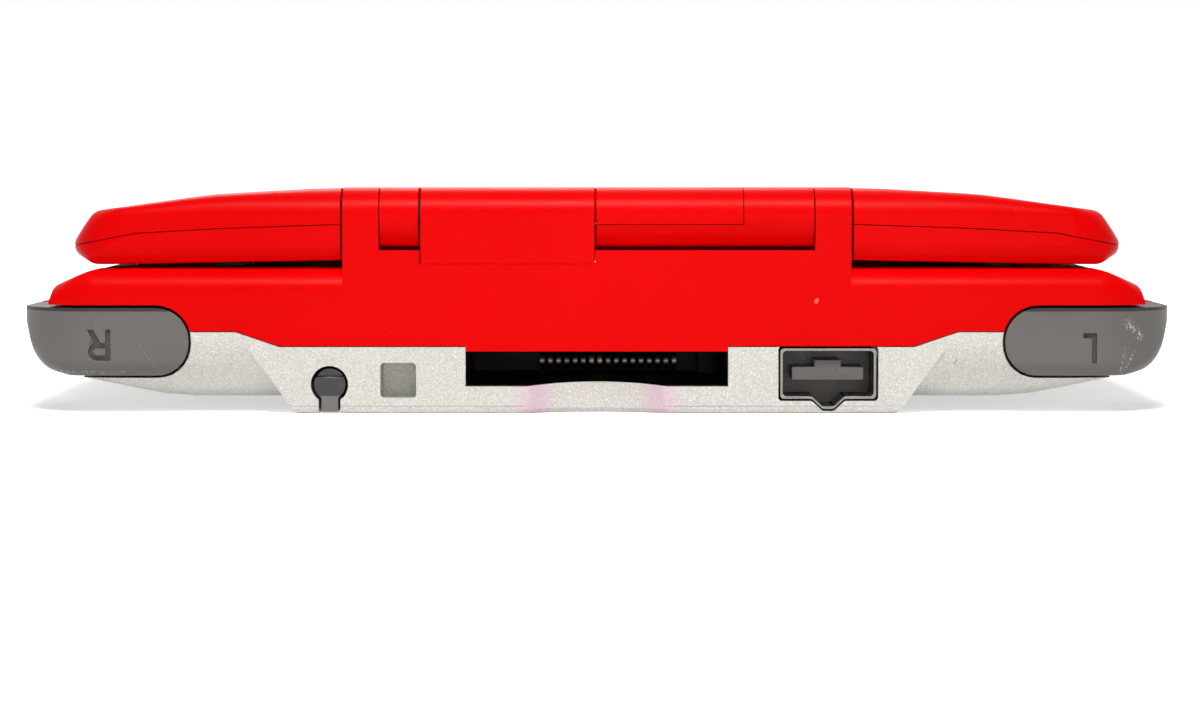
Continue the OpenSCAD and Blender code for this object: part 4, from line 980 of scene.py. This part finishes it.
bodyOf = {node: body for body, held in frame["record"]["behaviour"]["bodies"].items() for node in held}
smallEdges = {
    "hinge_cover": 0.14, "stylus": 0.16, "power_socket": 0.07, "power_tongue": 0.12, "card_slot": 0.08,
    "cross_key": 0.5, "button_east": 0.4, "button_south": 0.4, "button_north": 0.4, "button_west": 0.4,
    "start_button": 0.3, "select_button": 0.3, "power_button": 0.3, "battery_cover": 0.2, "lid_pads": 0.15,
    "volume_slider": 0.15, "phones_jack": 0.12, "upper_window": 0.12, "feet": 0.1, "led_lenses": 0.08,
}
smallFinish = {"power_socket": "socket", "stylus": "stylus"}


def makeSmall():
    for node, width in smallEdges.items():
        worn = nodes[node].material_slots[0].material
        slot = next(key for key, finish in finishes.items() if finish == worn)
        name = "".join(part.capitalize() if i else part for i, part in enumerate(node.split("_")))
        thing = copyOf(node, name if "_" in node else name + "Piece")
        tidyFaces(thing)
        if node == "power_socket":
            roundAlong(thing, atNotch, notch["round"])
        bevelEdges(thing, width)
        shadeSmooth(thing)
        setPiece(thing, bodyOf[node], slot, node, finish=smallFinish.get(node))
        print(thing.name, len(thing.data.polygons), "faces")


makeSmall()


def makePins():
    # the shoulder keys' pins, cut off just above the closed skin of the lower shell
    for node, name in (("right_key_pin", "rightPin"), ("left_key_pin", "leftPin")):
        thing = copyOf(node, name)
        above = prism("above", pins["around"], pins["high"] + pins["gap"], pins["top"], "Z")
        carve(thing, above, "INTERSECT")
        shadeSmooth(thing)
        # the pins wear the near-black copy of steel, painted shade
        setPiece(thing, "base", "steel", node, finish="dark_steel")


makePins()
print("small pieces made")


# what closes the lid's seam from within: a near-black red rim, painted shade in the gap between the lid's
# halves

seam = {"line": [(69, 20.9), (58.7, 23.0), (47.7, 23.6), (32.9, 24.1)], "half": 0.3, "back": 0.13, "rim": 5.0,
        "halfX": 67.7, "cut": (10, 40)}


def fillSeam(look):
    # a rim just inside the lid's skin, along the line where its two halves meet, in painted shade
    blank = smoothBlank("lidSeamShade", lidForm)
    line = np.array(look["line"], float)
    bands = []
    for side in (1, -1):
        flat = line * (side, 1)
        outline = np.vstack([flat + (0, look["half"]), (flat - (0, look["half"]))[::-1]])
        bands.append(prism("band", outline, lidForm["lowY"] - beyond, lidForm["highY"] + beyond))
    carve(bands[0], bands[1], "UNION")
    half = np.array([look["halfX"], (lidForm["highY"] - lidForm["lowY"]) / 2])
    middle = np.array([0, (lidForm["highY"] + lidForm["lowY"]) / 2]) * mm
    points = pointsOf(blank)
    points[:, :2] = middle + (points[:, :2] - middle) * (1 - look["back"] / half)
    setPoints(blank, points)
    carve(blank, bands[0], "INTERSECT")
    x, low, high = look["halfX"] - look["rim"], lidForm["lowY"] + look["rim"], lidForm["highY"] - look["rim"]
    carve(blank, prism("core", [(-x, low), (x, low), (x, high), (-x, high)], *look["cut"], "Z"), "DIFFERENCE")
    shadeSmooth(blank)
    setPiece(blank, "lid", "red_plastic", finish="seam_red")


fillSeam(seam)
print("seam filled")


# sprung contacts of the card slot

springs = {
    "count": 17, "pitch": 1.12, "shift": -1.5, "wide": 0.55, "thick": 0.18,
    "steps": 40, "blur": (1, 2, 3, 2, 1),
    "path": [(12.2, 7.7), (12.8, 6.6), (13.2, 5.7), (13.23, 5.1), (13.26, 4.5), (13.05, 4.1), (12.2, 3.95),
             (11.0, 4.6), (9.4, 6.0), (8.3, 7.2), (7.95, 7.7)],
}


def makeSprings(look):
    # each contact is a strip bent along one line in y and z: evenly spaced points on the straight runs of the
    # path, each then replaced by a weighted mean of its neighbours
    path = np.array(look["path"], float)
    length = np.concatenate([[0], np.cumsum(np.linalg.norm(np.diff(path, axis=0), axis=1))])
    fine = np.linspace(0, length[-1], look["steps"])
    line = np.stack([np.interp(fine, length, path[:, k]) for k in (0, 1)], -1)
    blur = np.array(look["blur"]) / sum(look["blur"])
    beside = len(look["blur"]) // 2
    padded = np.pad(line, ((beside, beside), (0, 0)), mode="edge")
    line = np.stack([np.convolve(padded[:, k], blur, "valid") for k in (0, 1)], -1)
    way = np.gradient(line, axis=0)
    normal = np.stack([-way[:, 1], way[:, 0]], -1) / np.linalg.norm(way, axis=1)[:, None]
    half, thick = look["wide"] / 2, look["thick"] / 2
    around = [(-half, -thick), (half, -thick), (half, thick), (-half, thick)]
    rings = np.stack([np.column_stack([np.full(len(line), x), line + normal * t]) for x, t in around], 1)
    places = (np.arange(look["count"]) - (look["count"] - 1) / 2) * look["pitch"] + look["shift"]
    points = rings[None] + np.stack([places, 0 * places, 0 * places], -1)[:, None, None]
    rows = len(line)
    c, i, k = np.meshgrid(np.arange(len(places)), np.arange(rows - 1), np.arange(4), indexing="ij")
    a, b = ((c * rows + i) * 4 + k).ravel(), ((c * rows + i) * 4 + (k + 1) % 4).ravel()
    quads = np.stack([a, b, b + 4, a + 4], -1)
    start = np.arange(len(places))[:, None] * rows * 4
    caps = np.vstack([start + [3, 2, 1, 0], start + (rows - 1) * 4 + [0, 1, 2, 3]])
    thing = meshFrom("cardContacts", points.reshape(-1, 3) * mm, np.vstack([quads, caps]))
    closeUp(thing, 0.001)
    shadeSmooth(thing)
    setPiece(thing, "base", "gold_contact", "card_contacts", finish="spring")


makeSprings(springs)
print("springs made")


setCamera(view)
addLamp("table lamp", tableLamp)
addLamp("face lamp", faceLamp)
addLamp("rim lamp", rimLamp)
setRoom(roomLevel)
layFloor(paper)
bpy.context.scene.view_settings.view_transform = "Standard"
print("camera, floor and lights set")
